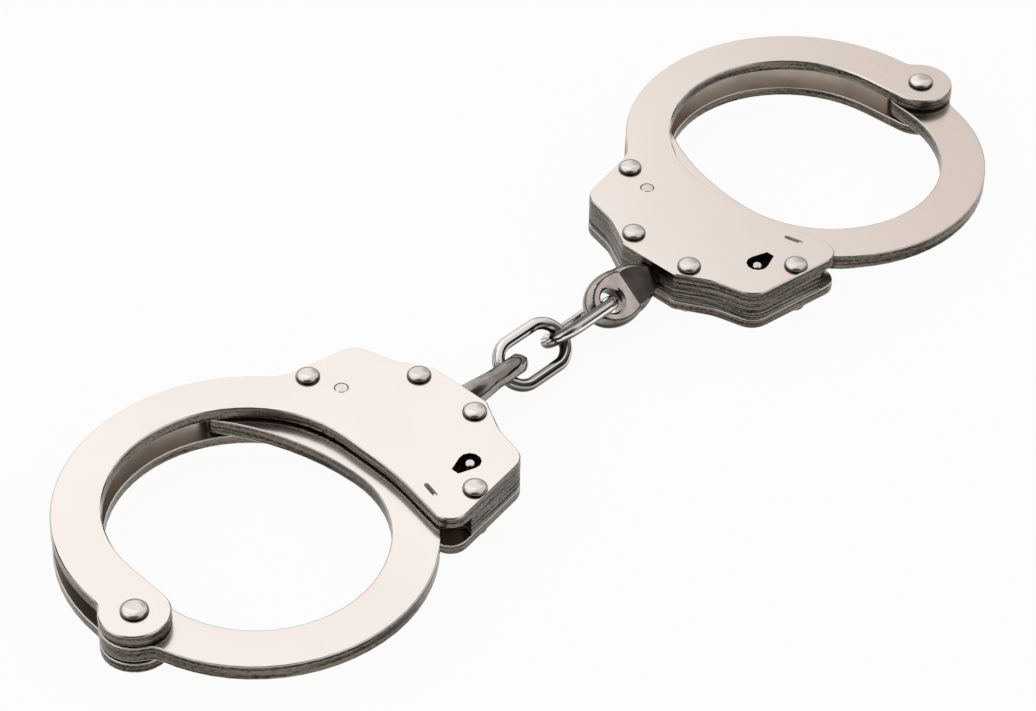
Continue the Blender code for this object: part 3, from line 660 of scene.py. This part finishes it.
# Spacer edges: near black, partly their own steel and partly painted shade.
SPACER_EDGE = Finish(
    "spacer_edge", (0.25, 0.218, 0.184), (0.008, 0.006, 0.005), 0.28, 0.14, Surface.SHEARED, 1.4, 5e-5
)
# Rivet heads darken towards their foot with painted shade in the corner.
RIVET_HEAD = Finish(
    "rivet_head", (0.86, 0.81, 0.77), (0.72, 0.65, 0.60), 0.12, 0.06, Surface.POLISHED, 90.0, 1e-5,
    PaintedShadePlace.FOOT,
)
PIN_END = Finish(
    "pin_end", (0.88, 0.82, 0.78), (0.78, 0.70, 0.65), 0.2, 0.08, Surface.PLAIN, 200.0, 1e-5
)
LOCK_PLATED = Finish(
    "lock_plated", (0.93, 0.88, 0.84), (0.84, 0.78, 0.73), 0.22, 0.08, Surface.PLAIN, 150.0, 1e-5
)
LOCK_STEEL = Finish(
    "lock_steel", (0.33, 0.30, 0.28), (0.16, 0.14, 0.125), 0.34, 0.16, Surface.PLAIN, 150.0, 2e-5
)
# Chain wire: light and dark lines along it paint reflection streaks, and its underside is darkened with
# painted shade.
CHAIN_WIRE = Finish(
    "chain_wire", (0.93, 0.89, 0.85), (0.07, 0.06, 0.052), 0.06, 0.04, Surface.DRAWN, 1.0, 1e-5,
    PaintedShadePlace.UNDERSIDE,
)
# Turned swivel: a dark copy of the plating whose strong clouds paint dark reflections, darker still
# underneath with painted shade.
SWIVEL_TURNED = Finish(
    "swivel_turned", (0.54, 0.495, 0.46), (0.17, 0.15, 0.135), 0.06, 0.05, Surface.POLISHED, 120.0, 1e-5,
    PaintedShadePlace.UNDERSIDE,
)
SWIVEL_FLAT = Finish(
    "swivel_flat", (0.80, 0.70, 0.665), (0.64, 0.54, 0.51), 0.32, 0.10, Surface.PLAIN, 500.0, 2e-5
)
# Swivel ramps: a near-black colour that paints the shade under the case's overhang.
SWIVEL_RAMP = Finish(
    "swivel_ramp", (0.12, 0.105, 0.093), (0.045, 0.038, 0.033), 0.14, 0.10, Surface.PLAIN, 200.0, 2e-5
)
# Swivel arrises: a near-black colour that paints a shaded outline round the flats.
SWIVEL_ARRIS = Finish(
    "swivel_arris", (0.09, 0.078, 0.07), (0.03, 0.025, 0.02), 0.16, 0.08, Surface.PLAIN, 400.0, 1e-5
)


@dataclass
class Workshop:
    """What every sub-assembly needs: the frame, the texture groups and the list of what was made."""

    frame: dict
    textures: TextureShop
    made: list[str] = field(default_factory=list)

    def joint(self, child: str) -> dict:
        """Finds the record's joint that carries a body.

        Args:
            child: The body.

        Returns:
            The joint.
        """
        return next(j for j in self.frame["joints"] if j["child"] == child)

    def dress(self, obj: bpy.types.Object, *finishes: Finish) -> None:
        """Gives a piece its finishes, one slot each.

        Args:
            obj: The piece.
            finishes: Finishes in slot order.
        """
        obj.data.materials.clear()
        for finish in finishes:
            obj.data.materials.append(finish.material(self.textures))

    def install(self, obj: bpy.types.Object, node: str, body: str) -> None:
        """Puts a finished piece in place of its node.

        Args:
            obj: The piece.
            node: The node it stands for.
            body: The body it moves with.
        """
        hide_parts(node)
        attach(obj, body)
        self.made.append(obj.name)
        LOG.info("%s: %d faces, rides on %s", obj.name, len(obj.data.polygons), body)


def paint_by_slope(obj: bpy.types.Object) -> None:
    """Tells level faces, upright walls and the roundings between them apart; the walls and roundings
    take darker colours that are partly painted shade.

    Args:
        obj: The piece, with its finishes in the order of PlateSide.
    """
    for face in obj.data.polygons:
        rise = abs(face.normal.z)
        face.material_index = PlateSide.RIM
        if rise > FACE_RISE:
            face.material_index = PlateSide.FACE
        elif rise < WALL_RISE:
            face.material_index = PlateSide.WALL


@dataclass
class PlatePair:
    """The two outer plates of a cuff.

    Attributes:
        cuff: Which cuff.
        round_width: Width of the rounding on the rims, in metres.
        round_steps: Steps across it.
        slot_reach: How far the walls of the double-lock slot lie from its middle, in metres.
    """

    cuff: Cuff
    round_width: float = 0.00022
    round_steps: int = 3
    slot_reach: float = 0.0026

    def build(self, shop: Workshop) -> None:
        """Builds and dresses both plates.

        Args:
            shop: The workshop.
        """
        for level in ("top", "bottom"):
            node = f"{self.cuff.value}_{level}_plate"
            plate = cad_copy(node, f"{node}_polished", shop.frame)
            soften_edges(plate, self.round_width, self.round_steps)
            shop.dress(plate, PLATE_FACE, PLATE_EDGE, PLATE_RIM, PLATE_INNER, PLATE_SLOT)
            paint_by_slope(plate)
            self._paint_inside(plate, -1 if level == "top" else 1)
            self._paint_slot(plate, shop)
            shop.install(plate, node, f"cuff_{self.cuff.value}")

    @staticmethod
    def _paint_inside(plate: bpy.types.Object, inwards: int) -> None:
        """Gives the face that looks at the other plate its duller finish, whose darker colour is painted
        shade between the plates.

        Args:
            plate: The plate.
            inwards: 1 if that face looks up and -1 if it looks down.
        """
        for face in plate.data.polygons:
            if face.material_index == PlateSide.FACE and face.normal.z * inwards > 0:
                face.material_index = PlateSide.INNER

    def _paint_slot(self, plate: bpy.types.Object, shop: Workshop) -> None:
        """Gives the walls of the double-lock slot their own matt plated finish.

        Args:
            plate: The plate.
            shop: The workshop, for the slot's place.
        """
        slot = shop.joint(f"double_lock_{self.cuff.value}")["pos_m"]
        for face in plate.data.polygons:
            reach = math.hypot(face.center.x - slot[0], face.center.y - slot[1])
            if reach < self.slot_reach and face.material_index == PlateSide.WALL:
                face.material_index = PlateSide.SLOT


@dataclass
class SpacerStack:
    """The spacers between the plates of a cuff.

    Attributes:
        cuff: Which cuff.
        round_width: Width of the rounding along each layer's rims, in metres.
    """

    cuff: Cuff
    round_width: float = 0.0002

    def build(self, shop: Workshop) -> None:
        """Builds and dresses every layer.

        Args:
            shop: The workshop.
        """
        for layer in ("1", "2_left", "2_right", "3_left", "3_right", "4"):
            node = f"{self.cuff.value}_spacer_{layer}"
            spacer = cad_copy(node, f"{node}_stacked", shop.frame)
            soften_edges(spacer, self.round_width, 1)
            shop.dress(spacer, SPACER_EDGE)
            shop.install(spacer, node, f"cuff_{self.cuff.value}")


@dataclass
class Bow:
    """The swinging bow of a cuff.

    Attributes:
        cuff: Which cuff.
        round_width: Width of the rounding along the strap, in metres.
        round_steps: Steps across it.
        tooth_inner: Distance from the pivot where the teeth start, in metres.
        tooth_deep: How far they reach from there, in metres.
        tooth_share: Part of the rounding that the teeth get.
    """

    cuff: Cuff
    round_width: float = 0.0004
    round_steps: int = 3
    tooth_inner: float = 0.0555
    tooth_deep: float = 0.002
    tooth_share: float = 0.2

    def build(self, shop: Workshop) -> None:
        """Builds and dresses the bow.

        Args:
            shop: The workshop.
        """
        node = f"{self.cuff.value}_bow"
        bow = cad_copy(node, f"{node}_polished", shop.frame)
        self._weigh_rims(bow, shop)
        soften_edges(bow, self.round_width, self.round_steps, by_weight=True)
        shop.dress(bow, BOW_FACE, BOW_EDGE, BOW_RIM)
        paint_by_slope(bow)
        shop.install(bow, node, f"bow_{self.cuff.value}")

    def _weigh_rims(self, bow: bpy.types.Object, shop: Workshop) -> None:
        """Weighs the edges: full along the strap's rims, less on the teeth, none inside a face.

        Args:
            bow: The bow.
            shop: The workshop, for the pivot's place.
        """
        mesh = bow.data
        pivot = shop.joint(f"bow_{self.cuff.value}")["pos_m"]
        weights = mesh.attributes.new("bevel_weight_edge", "FLOAT", "EDGE")
        slopes: dict[tuple[int, int], set[bool]] = {}
        for face in mesh.polygons:
            for key in face.edge_keys:
                slopes.setdefault(key, set()).add(abs(face.normal.z) > HALF_RISE)
        for edge in mesh.edges:
            if len(slopes.get(edge.key, ())) < 2:
                continue
            middle = (mesh.vertices[edge.vertices[0]].co + mesh.vertices[edge.vertices[1]].co) / 2
            reach = math.hypot(middle.x - pivot[0], middle.y - pivot[1])
            toothed = self.tooth_inner < reach < self.tooth_inner + self.tooth_deep
            weights.data[edge.index].value = self.tooth_share if toothed else 1.0


@dataclass
class Rivets:
    """The headed rivets of a cuff.

    Attributes:
        cuff: Which cuff.
        fullness: Power of the rounded head, 2 for a round one and more for a fuller one.
        sink: How far a head stays off its plate, in metres.
        shank: Radius of the shank as a share of the head's.
        steps: Steps round a rivet.
        dome_steps: Steps over a head.
    """

    cuff: Cuff
    fullness: float = 2.7
    sink: float = 0.00005
    shank: float = 0.65
    steps: int = 64
    dome_steps: int = 16

    def build(self, shop: Workshop) -> None:
        """Builds and dresses the pivot rivet and the case rivets.

        Args:
            shop: The workshop.
        """
        letter = self.cuff.value
        for place in ("pivot_rivet", "case_rivet_1", "case_rivet_2", "case_rivet_3", "case_rivet_4"):
            node = f"{letter}_{place}"
            rivet = spun_on(node, f"{node}_domed", self._profile(node), self.steps)
            shop.dress(rivet, RIVET_HEAD)
            shop.install(rivet, node, f"cuff_{letter}")

    def _profile(self, node: str) -> Profile:
        """Draws the half section of one rivet.

        Args:
            node: The node whose size it takes.

        Returns:
            Radius and height of each point, from the lower tip to the upper.
        """
        low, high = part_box(node)
        tall = high.z - low.z
        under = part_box(f"{self.cuff.value}_bottom_plate")[0].z - low.z - self.sink
        head = (high.x - low.x) / 2
        power = 2 / self.fullness
        half = []
        for k in range(self.dome_steps + 1):
            a = math.pi / 2 * k / self.dome_steps
            half.append((head * math.sin(a) ** power, under * (1 - math.cos(a) ** power)))
        half.append((head * self.shank, under))
        return half + [(r, tall - z) for r, z in reversed(half)]


@dataclass
class LockWork:
    """The pieces of a cuff's lock.

    Attributes:
        cuff: Which cuff.
        steps: Steps round a pin.
        chamfer: Chamfer on the end of a pin, in metres.
        post_rise: How far the post's tip stands over its node, in metres.
        post_step: How far the post's foot stands over the lower plate, in metres.
        post_share: Radius of the post as a share of its foot's.
    """

    cuff: Cuff
    steps: int = 40
    chamfer: float = 0.00015
    post_rise: float = 0.0006
    post_step: float = 0.00005
    post_share: float = 0.75

    def build(self, shop: Workshop) -> None:
        """Builds the pin and the post, and dresses what stays as it is.

        Args:
            shop: The workshop.
        """
        letter = self.cuff.value
        for node, draw in ((f"{letter}_pawl_pin", self._pin), (f"{letter}_key_post", self._post)):
            obj = spun_on(node, f"{node}_turned", draw(node), self.steps)
            shop.dress(obj, PIN_END)
            shop.install(obj, node, f"cuff_{letter}")
        kept = (("pawl", LOCK_STEEL), ("pawl_spring", LOCK_STEEL), ("double_lock", LOCK_PLATED))
        for part, finish in kept:
            shop.dress(shop.frame["nodes"][f"{letter}_{part}"], finish)

    def _pin(self, node: str) -> Profile:
        """Draws the half section of the pawl's pin, flush in both plates.

        Args:
            node: The node it stands for.

        Returns:
            Radius and height of each point.
        """
        low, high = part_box(node)
        radius = (high.x - low.x) / 2
        tall = high.z - low.z
        inner = radius - self.chamfer
        lower = [(0, 0), (inner, 0), (radius, self.chamfer)]
        return lower + [(radius, tall - self.chamfer), (inner, tall), (0, tall)]

    def _post(self, node: str) -> Profile:
        """Draws the half section of the post in the keyhole, on its wider foot.

        Args:
            node: The node it stands for.

        Returns:
            Radius and height of each point.
        """
        low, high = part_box(node)
        foot = (high.x - low.x) / 2
        tall = high.z - low.z + self.post_rise
        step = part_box(f"{self.cuff.value}_bottom_plate")[1].z - low.z + self.post_step
        radius = foot * self.post_share
        lower = [(0, 0), (foot, 0), (foot, step), (radius, step)]
        return lower + [(radius, tall - self.chamfer), (radius - self.chamfer, tall), (0, tall)]


@dataclass
class Swivel:
    """A swivel between a case and the chain, drawn along Z from the head inside the case.

    Attributes:
        cuff: Which cuff.
        roll: Turn about the chain's axis, in degrees.
        head_r: Radius of the head.
        head_long: Length of the head.
        neck_r: Radius of the neck.
        neck_long: Length of the neck.
        foot_r: Radius where the bell starts.
        foot_half: Half the thickness between the ramps there.
        bell_r: Radius where it ends.
        bell_long: Length of the bell.
        flatten: Share by which the bell is flattened at its end.
        ball_r: Largest radius of the rounded end.
        end: Height of its tip.
        eye: Height of the middle of the eye.
        eye_thick: Thickness between the flats.
        hole_r: Radius of the eye.
        hole_sink: Depth of the eye's countersink.
        arris: Width of the rounding on its edges.
        past_bell: How far past the bell's last ring the ramps meet the flats.
        steps: Steps round the axis.
        bell_steps: Steps along the bell.
        end_steps: Steps over the rounded end.
    """

    cuff: Cuff
    roll: float
    head_r: float = 0.0021
    head_long: float = 0.0018
    neck_r: float = 0.0016
    neck_long: float = 0.0077
    foot_r: float = 0.0029
    foot_half: float = 0.0026
    bell_r: float = 0.0049
    bell_long: float = 0.0061
    flatten: float = 0.418
    ball_r: float = 0.00536
    end: float = 0.0261
    eye: float = 0.0204
    eye_thick: float = 0.0038
    hole_r: float = 0.00245
    hole_sink: float = 0.0005
    arris: float = 0.00022
    past_bell: float = 0.00015
    steps: int = 96
    bell_steps: int = 14
    end_steps: int = 24

    @property
    def bell_foot(self) -> float:
        """Height where the bell starts."""
        return self.head_long + self.neck_long

    @property
    def bell_end(self) -> float:
        """Height where the bell ends."""
        return self.bell_foot + self.bell_long

    @property
    def ridge(self) -> float:
        """Height where the ramps meet the flats."""
        return self.bell_end + self.past_bell

    def build(self, shop: Workshop) -> None:
        """Builds and dresses the swivel.

        Args:
            shop: The workshop.
        """
        node = f"{self.cuff.value}_swivel"
        low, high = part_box(node)
        swivel = self._blank(f"{node}_turned")
        self._mill(swivel)
        soften_edges(swivel, self.arris, 3)
        shop.dress(swivel, SWIVEL_FLAT, SWIVEL_TURNED, SWIVEL_ARRIS, SWIVEL_RAMP)
        self._paint(swivel)
        start = low.x if self.cuff is Cuff.FIRST else high.x
        face = 90 if self.cuff is Cuff.FIRST else -90
        place = Matrix.Translation((start, (low.y + high.y) / 2, (low.z + high.z) / 2))
        roll = Matrix.Rotation(math.radians(self.roll), 4, "X")
        swivel.data.transform(place @ roll @ Matrix.Rotation(math.radians(face), 4, "Y"))
        shop.install(swivel, node, f"swivel_{self.cuff.value}")

    def _blank(self, name: str) -> bpy.types.Object:
        """Spins the round blank and flattens it along its bell.

        Args:
            name: Name of the piece.

        Returns:
            The blank along Z.
        """
        profile = [(0, 0), (self.head_r, 0), (self.head_r, self.head_long)]
        profile += [(self.neck_r, self.head_long), (self.neck_r, self.bell_foot)]
        for k in range(self.bell_steps + 1):
            share = k / self.bell_steps
            swell = math.sin(math.pi / 2 * share)
            radius = self.foot_r + (self.bell_r - self.foot_r) * swell
            profile.append((radius, self.bell_foot + self.bell_long * share))
        start = -math.acos(self.bell_r / self.ball_r)
        reach = (self.end - self.bell_end) / (1 - math.sin(start))
        middle = self.end - reach
        for k in range(1, self.end_steps + 1):
            a = start + (math.pi / 2 - start) * k / self.end_steps
            profile.append((self.ball_r * math.cos(a), middle + reach * math.sin(a)))
        blank = spun(name, profile, self.steps)
        for vertex in blank.data.vertices:
            share = min(1.0, max(0.0, (vertex.co.z - self.bell_foot) / self.bell_long))
            vertex.co.y *= 1 - self.flatten * share
        return blank

    def _cutters(self) -> list[bpy.types.Object]:
        """Makes the two cutters for ramps and flats, and the drill for the eye.

        Returns:
            The cutters, which reach well past the blank.
        """
        tools = []
        half = self.eye_thick / 2
        wide = 3 * self.ball_r
        past = 1.2 * self.end
        outline = [(self.foot_half, self.bell_foot), (half, self.ridge), (half, past)]
        outline += [(wide, past), (wide, self.bell_foot)]
        for turn in (90, -90):
            tool = prism("flat_cutter", outline, 2 * wide)
            tool.data.transform(Matrix.Rotation(math.radians(turn), 4, "Z"))
            tools.append(tool)
        mouth = self.hole_r + self.hole_sink + half
        drill = [(0.0, -2 * half), (mouth, -2 * half), (self.hole_r, self.hole_sink - half)]
        drill += [(r, -z) for r, z in reversed(drill)]
        tool = spun("eye_drill", drill, self.steps)
        across = Matrix.Rotation(math.pi / 2, 4, "X")
        tool.data.transform(Matrix.Translation((0, 0, self.eye)) @ across)
        return tools + [tool]

    def _mill(self, swivel: bpy.types.Object) -> None:
        """Mills the two ramps and flats, drills the eye and clears the slivers.

        Args:
            swivel: The blank.
        """
        tools = self._cutters()
        for tool in tools:
            cut = swivel.modifiers.new("mill", "BOOLEAN")
            cut.operation = "DIFFERENCE"
            cut.solver = "EXACT"
            cut.object = tool
        apply_modifiers(swivel)
        for tool in tools:
            bpy.data.objects.remove(tool, do_unlink=True)
        activate(swivel)
        edit_all()
        bpy.ops.mesh.remove_doubles(threshold=SLIVER)
        bpy.ops.mesh.dissolve_degenerate(threshold=SLIVER)
        bpy.ops.object.mode_set(mode="OBJECT")

    def _paint(self, swivel: bpy.types.Object) -> None:
        """Gives the milled flats their finish, and the flats' edges and the ramps dark colours that are
        painted shade.

        Args:
            swivel: The milled swivel, still along Z.
        """
        level = self.eye_thick / 2
        slope = math.cos(math.atan2(self.foot_half - level, self.ridge - self.bell_foot))
        near = 0.001
        for face in swivel.data.polygons:
            place = face.center
            tilt = abs(face.normal.y)
            face.material_index = SwivelSide.TURNED
            if place.z > self.ridge - self.arris and abs(place.y) > level - self.arris:
                face.material_index = SwivelSide.FLAT if tilt > 1 - near else SwivelSide.ARRIS
            elif self.bell_foot < place.z < self.ridge and abs(tilt - slope) < near:
                face.material_index = SwivelSide.RAMP


@dataclass
class Link:
    """An oval link of round wire.

    Attributes:
        number: Its place from the first cuff.
        roll: Turn about the chain's axis, in degrees.
        long: Outer length.
        wide: Outer width.
        wire_r: Radius of the wire.
        bend_steps: Steps round the ring that the link is drawn out of, two more than a multiple of four.
        wire_steps: Steps round the wire.
    """

    number: int
    roll: float
    long: float = 0.0183
    wide: float = 0.0114
    wire_r: float = 0.00125
    bend_steps: int = 62
    wire_steps: int = 28

    def build(self, shop: Workshop) -> None:
        """Builds and dresses the link.

        Args:
            shop: The workshop.
        """
        node = f"chain_link_{self.number}"
        low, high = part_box(node)
        deselect()
        bpy.ops.mesh.primitive_torus_add(
            major_radius=self.wide / 2 - self.wire_r,
            minor_radius=self.wire_r,
            major_segments=self.bend_steps,
            minor_segments=self.wire_steps,
        )
        link = bpy.context.object
        link.name = f"{node}_drawn"
        for side in (1, -1):
            self._draw_out(link, side, (self.long - self.wide) / 2)
        activate(link)
        bpy.ops.object.shade_smooth()
        place = Matrix.Translation((low + high) / 2)
        link.data.transform(place @ Matrix.Rotation(math.radians(self.roll), 4, "X"))
        shop.dress(link, CHAIN_WIRE)
        shop.install(link, node, f"link_{self.number}")

    @staticmethod
    def _draw_out(link: bpy.types.Object, side: int, stretch: float) -> None:
        """Moves one half of the ring outwards, so that its open sides become straight legs.

        Args:
            link: The ring.
            side: The half, 1 towards +X and -1 towards -X.
            stretch: How far it moves.
        """
        for vertex in link.data.vertices:
            vertex.select = side * vertex.co.x > 0
        for edge in link.data.edges:
            edge.select = False
        for face in link.data.polygons:
            face.select = False
        bpy.ops.object.mode_set(mode="EDIT")
        bpy.ops.mesh.select_mode(type="VERT")
        bpy.ops.transform.translate(value=(side * stretch, 0.0, 0.0))
        bpy.ops.object.mode_set(mode="OBJECT")


@dataclass(frozen=True)
class Lamp:
    """A square soft lamp that looks at the middle of the object.

    Attributes:
        name: Its name.
        place: Where it hangs, in metres.
        power: Its power in watts.
        size: Its side in metres.
    """

    name: str
    place: Point
    power: float
    size: float

    def hang(self) -> None:
        """Puts the lamp in the scene."""
        data = bpy.data.lights.new(self.name, "AREA")
        data.energy = self.power
        data.size = self.size
        lamp = bpy.data.objects.new(self.name, data)
        bpy.context.scene.collection.objects.link(lamp)
        lamp.location = self.place
        lamp.rotation_euler = (-Vector(self.place)).to_track_quat("-Z", "Y").to_euler()


@dataclass(frozen=True)
class Patch:
    """A soft round patch of the surroundings.

    Attributes:
        towards: Direction of its middle.
        start: Cosine of the angle from there where it starts.
        full: Cosine where it is full.
        level: How much it adds there.
    """

    towards: Point
    start: float
    full: float
    level: float

    def draw(self, tree: bpy.types.NodeTree, place: bpy.types.NodeSocket) -> bpy.types.NodeSocket:
        """Draws the patch.

        Args:
            tree: The world's nodes.
            place: The direction looked at.

        Returns:
            What the patch adds in that direction.
        """
        inputs = {0: place, 1: Vector(self.towards).normalized()}
        near = add_node(tree, "VectorMath", inputs, operation="DOT_PRODUCT").outputs["Value"]
        return step_between(tree, near, self.start, self.full, 0.0, self.level, smooth=True)


LAMPS = (
    Lamp("overhead", (-0.5, 0.9, 1.9), 4.5, 2.4),
    Lamp("side", (-1.5, 0.6, 1.3), 2.0, 1.8),
)
BRIGHT_BACK = Patch((0.42, 0.58, 0.69), 0.72, 0.99, 0.27)
DARK_FRONT = Patch((-0.56, -0.51, 0.65), 0.72, 0.96, -0.65)
DARK_SIDE = Patch((0.68, -0.72, 0.14), 0.915, 0.965, -0.65)
WARM_CORNER = Patch((0.75, 0.38, 0.54), 0.966, 0.994, 1.0)


@dataclass
class Studio:
    """Floor, light and camera.

    Attributes:
        floor_size: Side of the floor, in metres.
        floor_drop: How far it lies under the object, in metres.
        floor_grey: Its brightness where it takes light.
        floor_glow: Share of it that is evenly bright to the eye and in mirrors, the rest keeps shadows.
        skirting: Heights where the pale skirting ends and the wall starts, and their brightness.
        ceiling: Heights between which the ceiling brightens, and its brightness there.
        least: Brightness of the darkest surroundings.
        cool: Colour of most of the surroundings.
        warm: Colour of the warm corner.
        eye: Where the camera stands, in metres.
        azimuth: Turn of the view about Z, in degrees.
        elevation: Height of the view over the floor, in degrees.
        roll: Turn of the picture, in degrees.
        lens: Focal length in millimetres.
        sensor: Width of the picture behind the lens, in millimetres.
    """

    floor_size: float = 30.0
    floor_drop: float = 0.0002
    floor_grey: float = 0.86
    floor_glow: float = 0.94
    skirting: tuple[float, float, float, float] = (0.06, 0.13, 0.95, 0.04)
    ceiling: tuple[float, float, float, float] = (0.18, 0.42, 0.0, 0.70)
    least: float = 0.03
    cool: Colour = (1.0, 0.99, 0.98)
    warm: Colour = (0.66, 0.585, 0.543)
    eye: Point = (-0.379312, -0.348165, 0.444667)
    azimuth: float = -46.9032
    elevation: float = 40.8613
    roll: float = 1.0432
    lens: float = 124.518
    sensor: float = 36.0

    def build(self) -> None:
        """Sets the stage, the lamps, the surroundings and the camera."""
        self._floor()
        for lamp in LAMPS:
            lamp.hang()
        self._surroundings()
        self._camera()
        bpy.context.scene.view_settings.view_transform = "Standard"

    def _floor(self) -> None:
        """A plain pale floor that keeps a faint shadow."""
        deselect()
        bpy.ops.mesh.primitive_plane_add(size=self.floor_size, location=(0, 0, -self.floor_drop))
        floor = bpy.context.object
        floor.name = "floor"
        bpy.ops.object.transform_apply(location=True, rotation=True, scale=True)
        paper = bpy.data.materials.new("floor_paper")
        paper.use_nodes = True
        tree = paper.node_tree
        tree.nodes.clear()
        grey = self.floor_grey
        matt = add_node(tree, "BsdfDiffuse", {"Color": (grey, grey, grey, 1.0)}).outputs[0]
        glow = add_node(tree, "Emission", {"Color": (1.0, 1.0, 1.0, 1.0), "Strength": 1.0}).outputs[0]
        rays = add_node(tree, "LightPath").outputs
        seen = maths(tree, "MAXIMUM", rays["Is Camera Ray"], rays["Is Glossy Ray"])
        through = maths(tree, "MAXIMUM", seen, rays["Is Transmission Ray"])
        share = maths(tree, "MULTIPLY", through, self.floor_glow)
        mix = add_node(tree, "MixShader", {"Fac": share, 1: matt, 2: glow}).outputs[0]
        add_node(tree, "OutputMaterial", {"Surface": mix})
        floor.data.materials.append(paper)

    def _surroundings(self) -> None:
        """A studio round the object: a pale skirting, dark walls, a bright ceiling and a warm corner."""
        world = bpy.data.worlds.new("studio")
        bpy.context.scene.world = world
        world.use_nodes = True
        tree = world.node_tree
        tree.nodes.clear()
        place = add_node(tree, "TexCoord").outputs["Generated"]
        height = add_node(tree, "SeparateXYZ", {0: place}).outputs["Z"]
        total = step_between(tree, height, *self.skirting, smooth=True)
        total = maths(tree, "ADD", total, step_between(tree, height, *self.ceiling, smooth=True))
        for patch in (BRIGHT_BACK, DARK_FRONT, DARK_SIDE):
            total = maths(tree, "ADD", total, patch.draw(tree, place))
        total = maths(tree, "MAXIMUM", total, self.least)
        tint = mixed(tree, WARM_CORNER.draw(tree, place), (*self.cool, 1.0), (*self.warm, 1.0))
        sky = add_node(tree, "Background", {"Color": tint, "Strength": total}).outputs[0]
        add_node(tree, "OutputWorld", {"Surface": sky})

    def _camera(self) -> None:
        """The camera at the photograph's place."""
        a, e, r = (math.radians(v) for v in (self.azimuth, self.elevation, self.roll))
        back = Vector((math.sin(a) * math.cos(e), -math.cos(a) * math.cos(e), math.sin(e)))
        level = Vector((math.cos(a), math.sin(a), 0))
        rise = back.cross(level)
        right = math.cos(r) * level + math.sin(r) * rise
        up = math.cos(r) * rise - math.sin(r) * level
        data = bpy.data.cameras.new("camera")
        data.sensor_width = self.sensor
        data.sensor_fit = "HORIZONTAL"
        data.lens = self.lens
        data.clip_start = 0.01
        data.clip_end = 100.0
        camera = bpy.data.objects.new("camera", data)
        bpy.context.scene.collection.objects.link(camera)
        turn = Matrix((right, up, back)).transposed().to_4x4()
        camera.matrix_world = Matrix.Translation(self.eye) @ turn
        bpy.context.scene.camera = camera


def main() -> None:
    """Builds every sub-assembly in order."""
    logging.basicConfig(level=logging.INFO)
    for old in list(bpy.data.objects):
        bpy.data.objects.remove(old, do_unlink=True)
    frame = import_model()
    shop = Workshop(frame, TextureShop())
    for cuff in Cuff:
        PlatePair(cuff).build(shop)
        SpacerStack(cuff).build(shop)
        Bow(cuff).build(shop)
        Rivets(cuff).build(shop)
        LockWork(cuff).build(shop)
        Swivel(cuff, CHAIN_TILT if cuff is Cuff.FIRST else CHAIN_TILT + 90.0).build(shop)
    for number, roll in ((1, CHAIN_TILT), (2, CHAIN_TILT + 90.0 + LINK_SKEW)):
        Link(number, roll).build(shop)
    Studio().build()
    LOG.info("%d pieces made", len(shop.made))


if __name__ == "__main__":
    main()
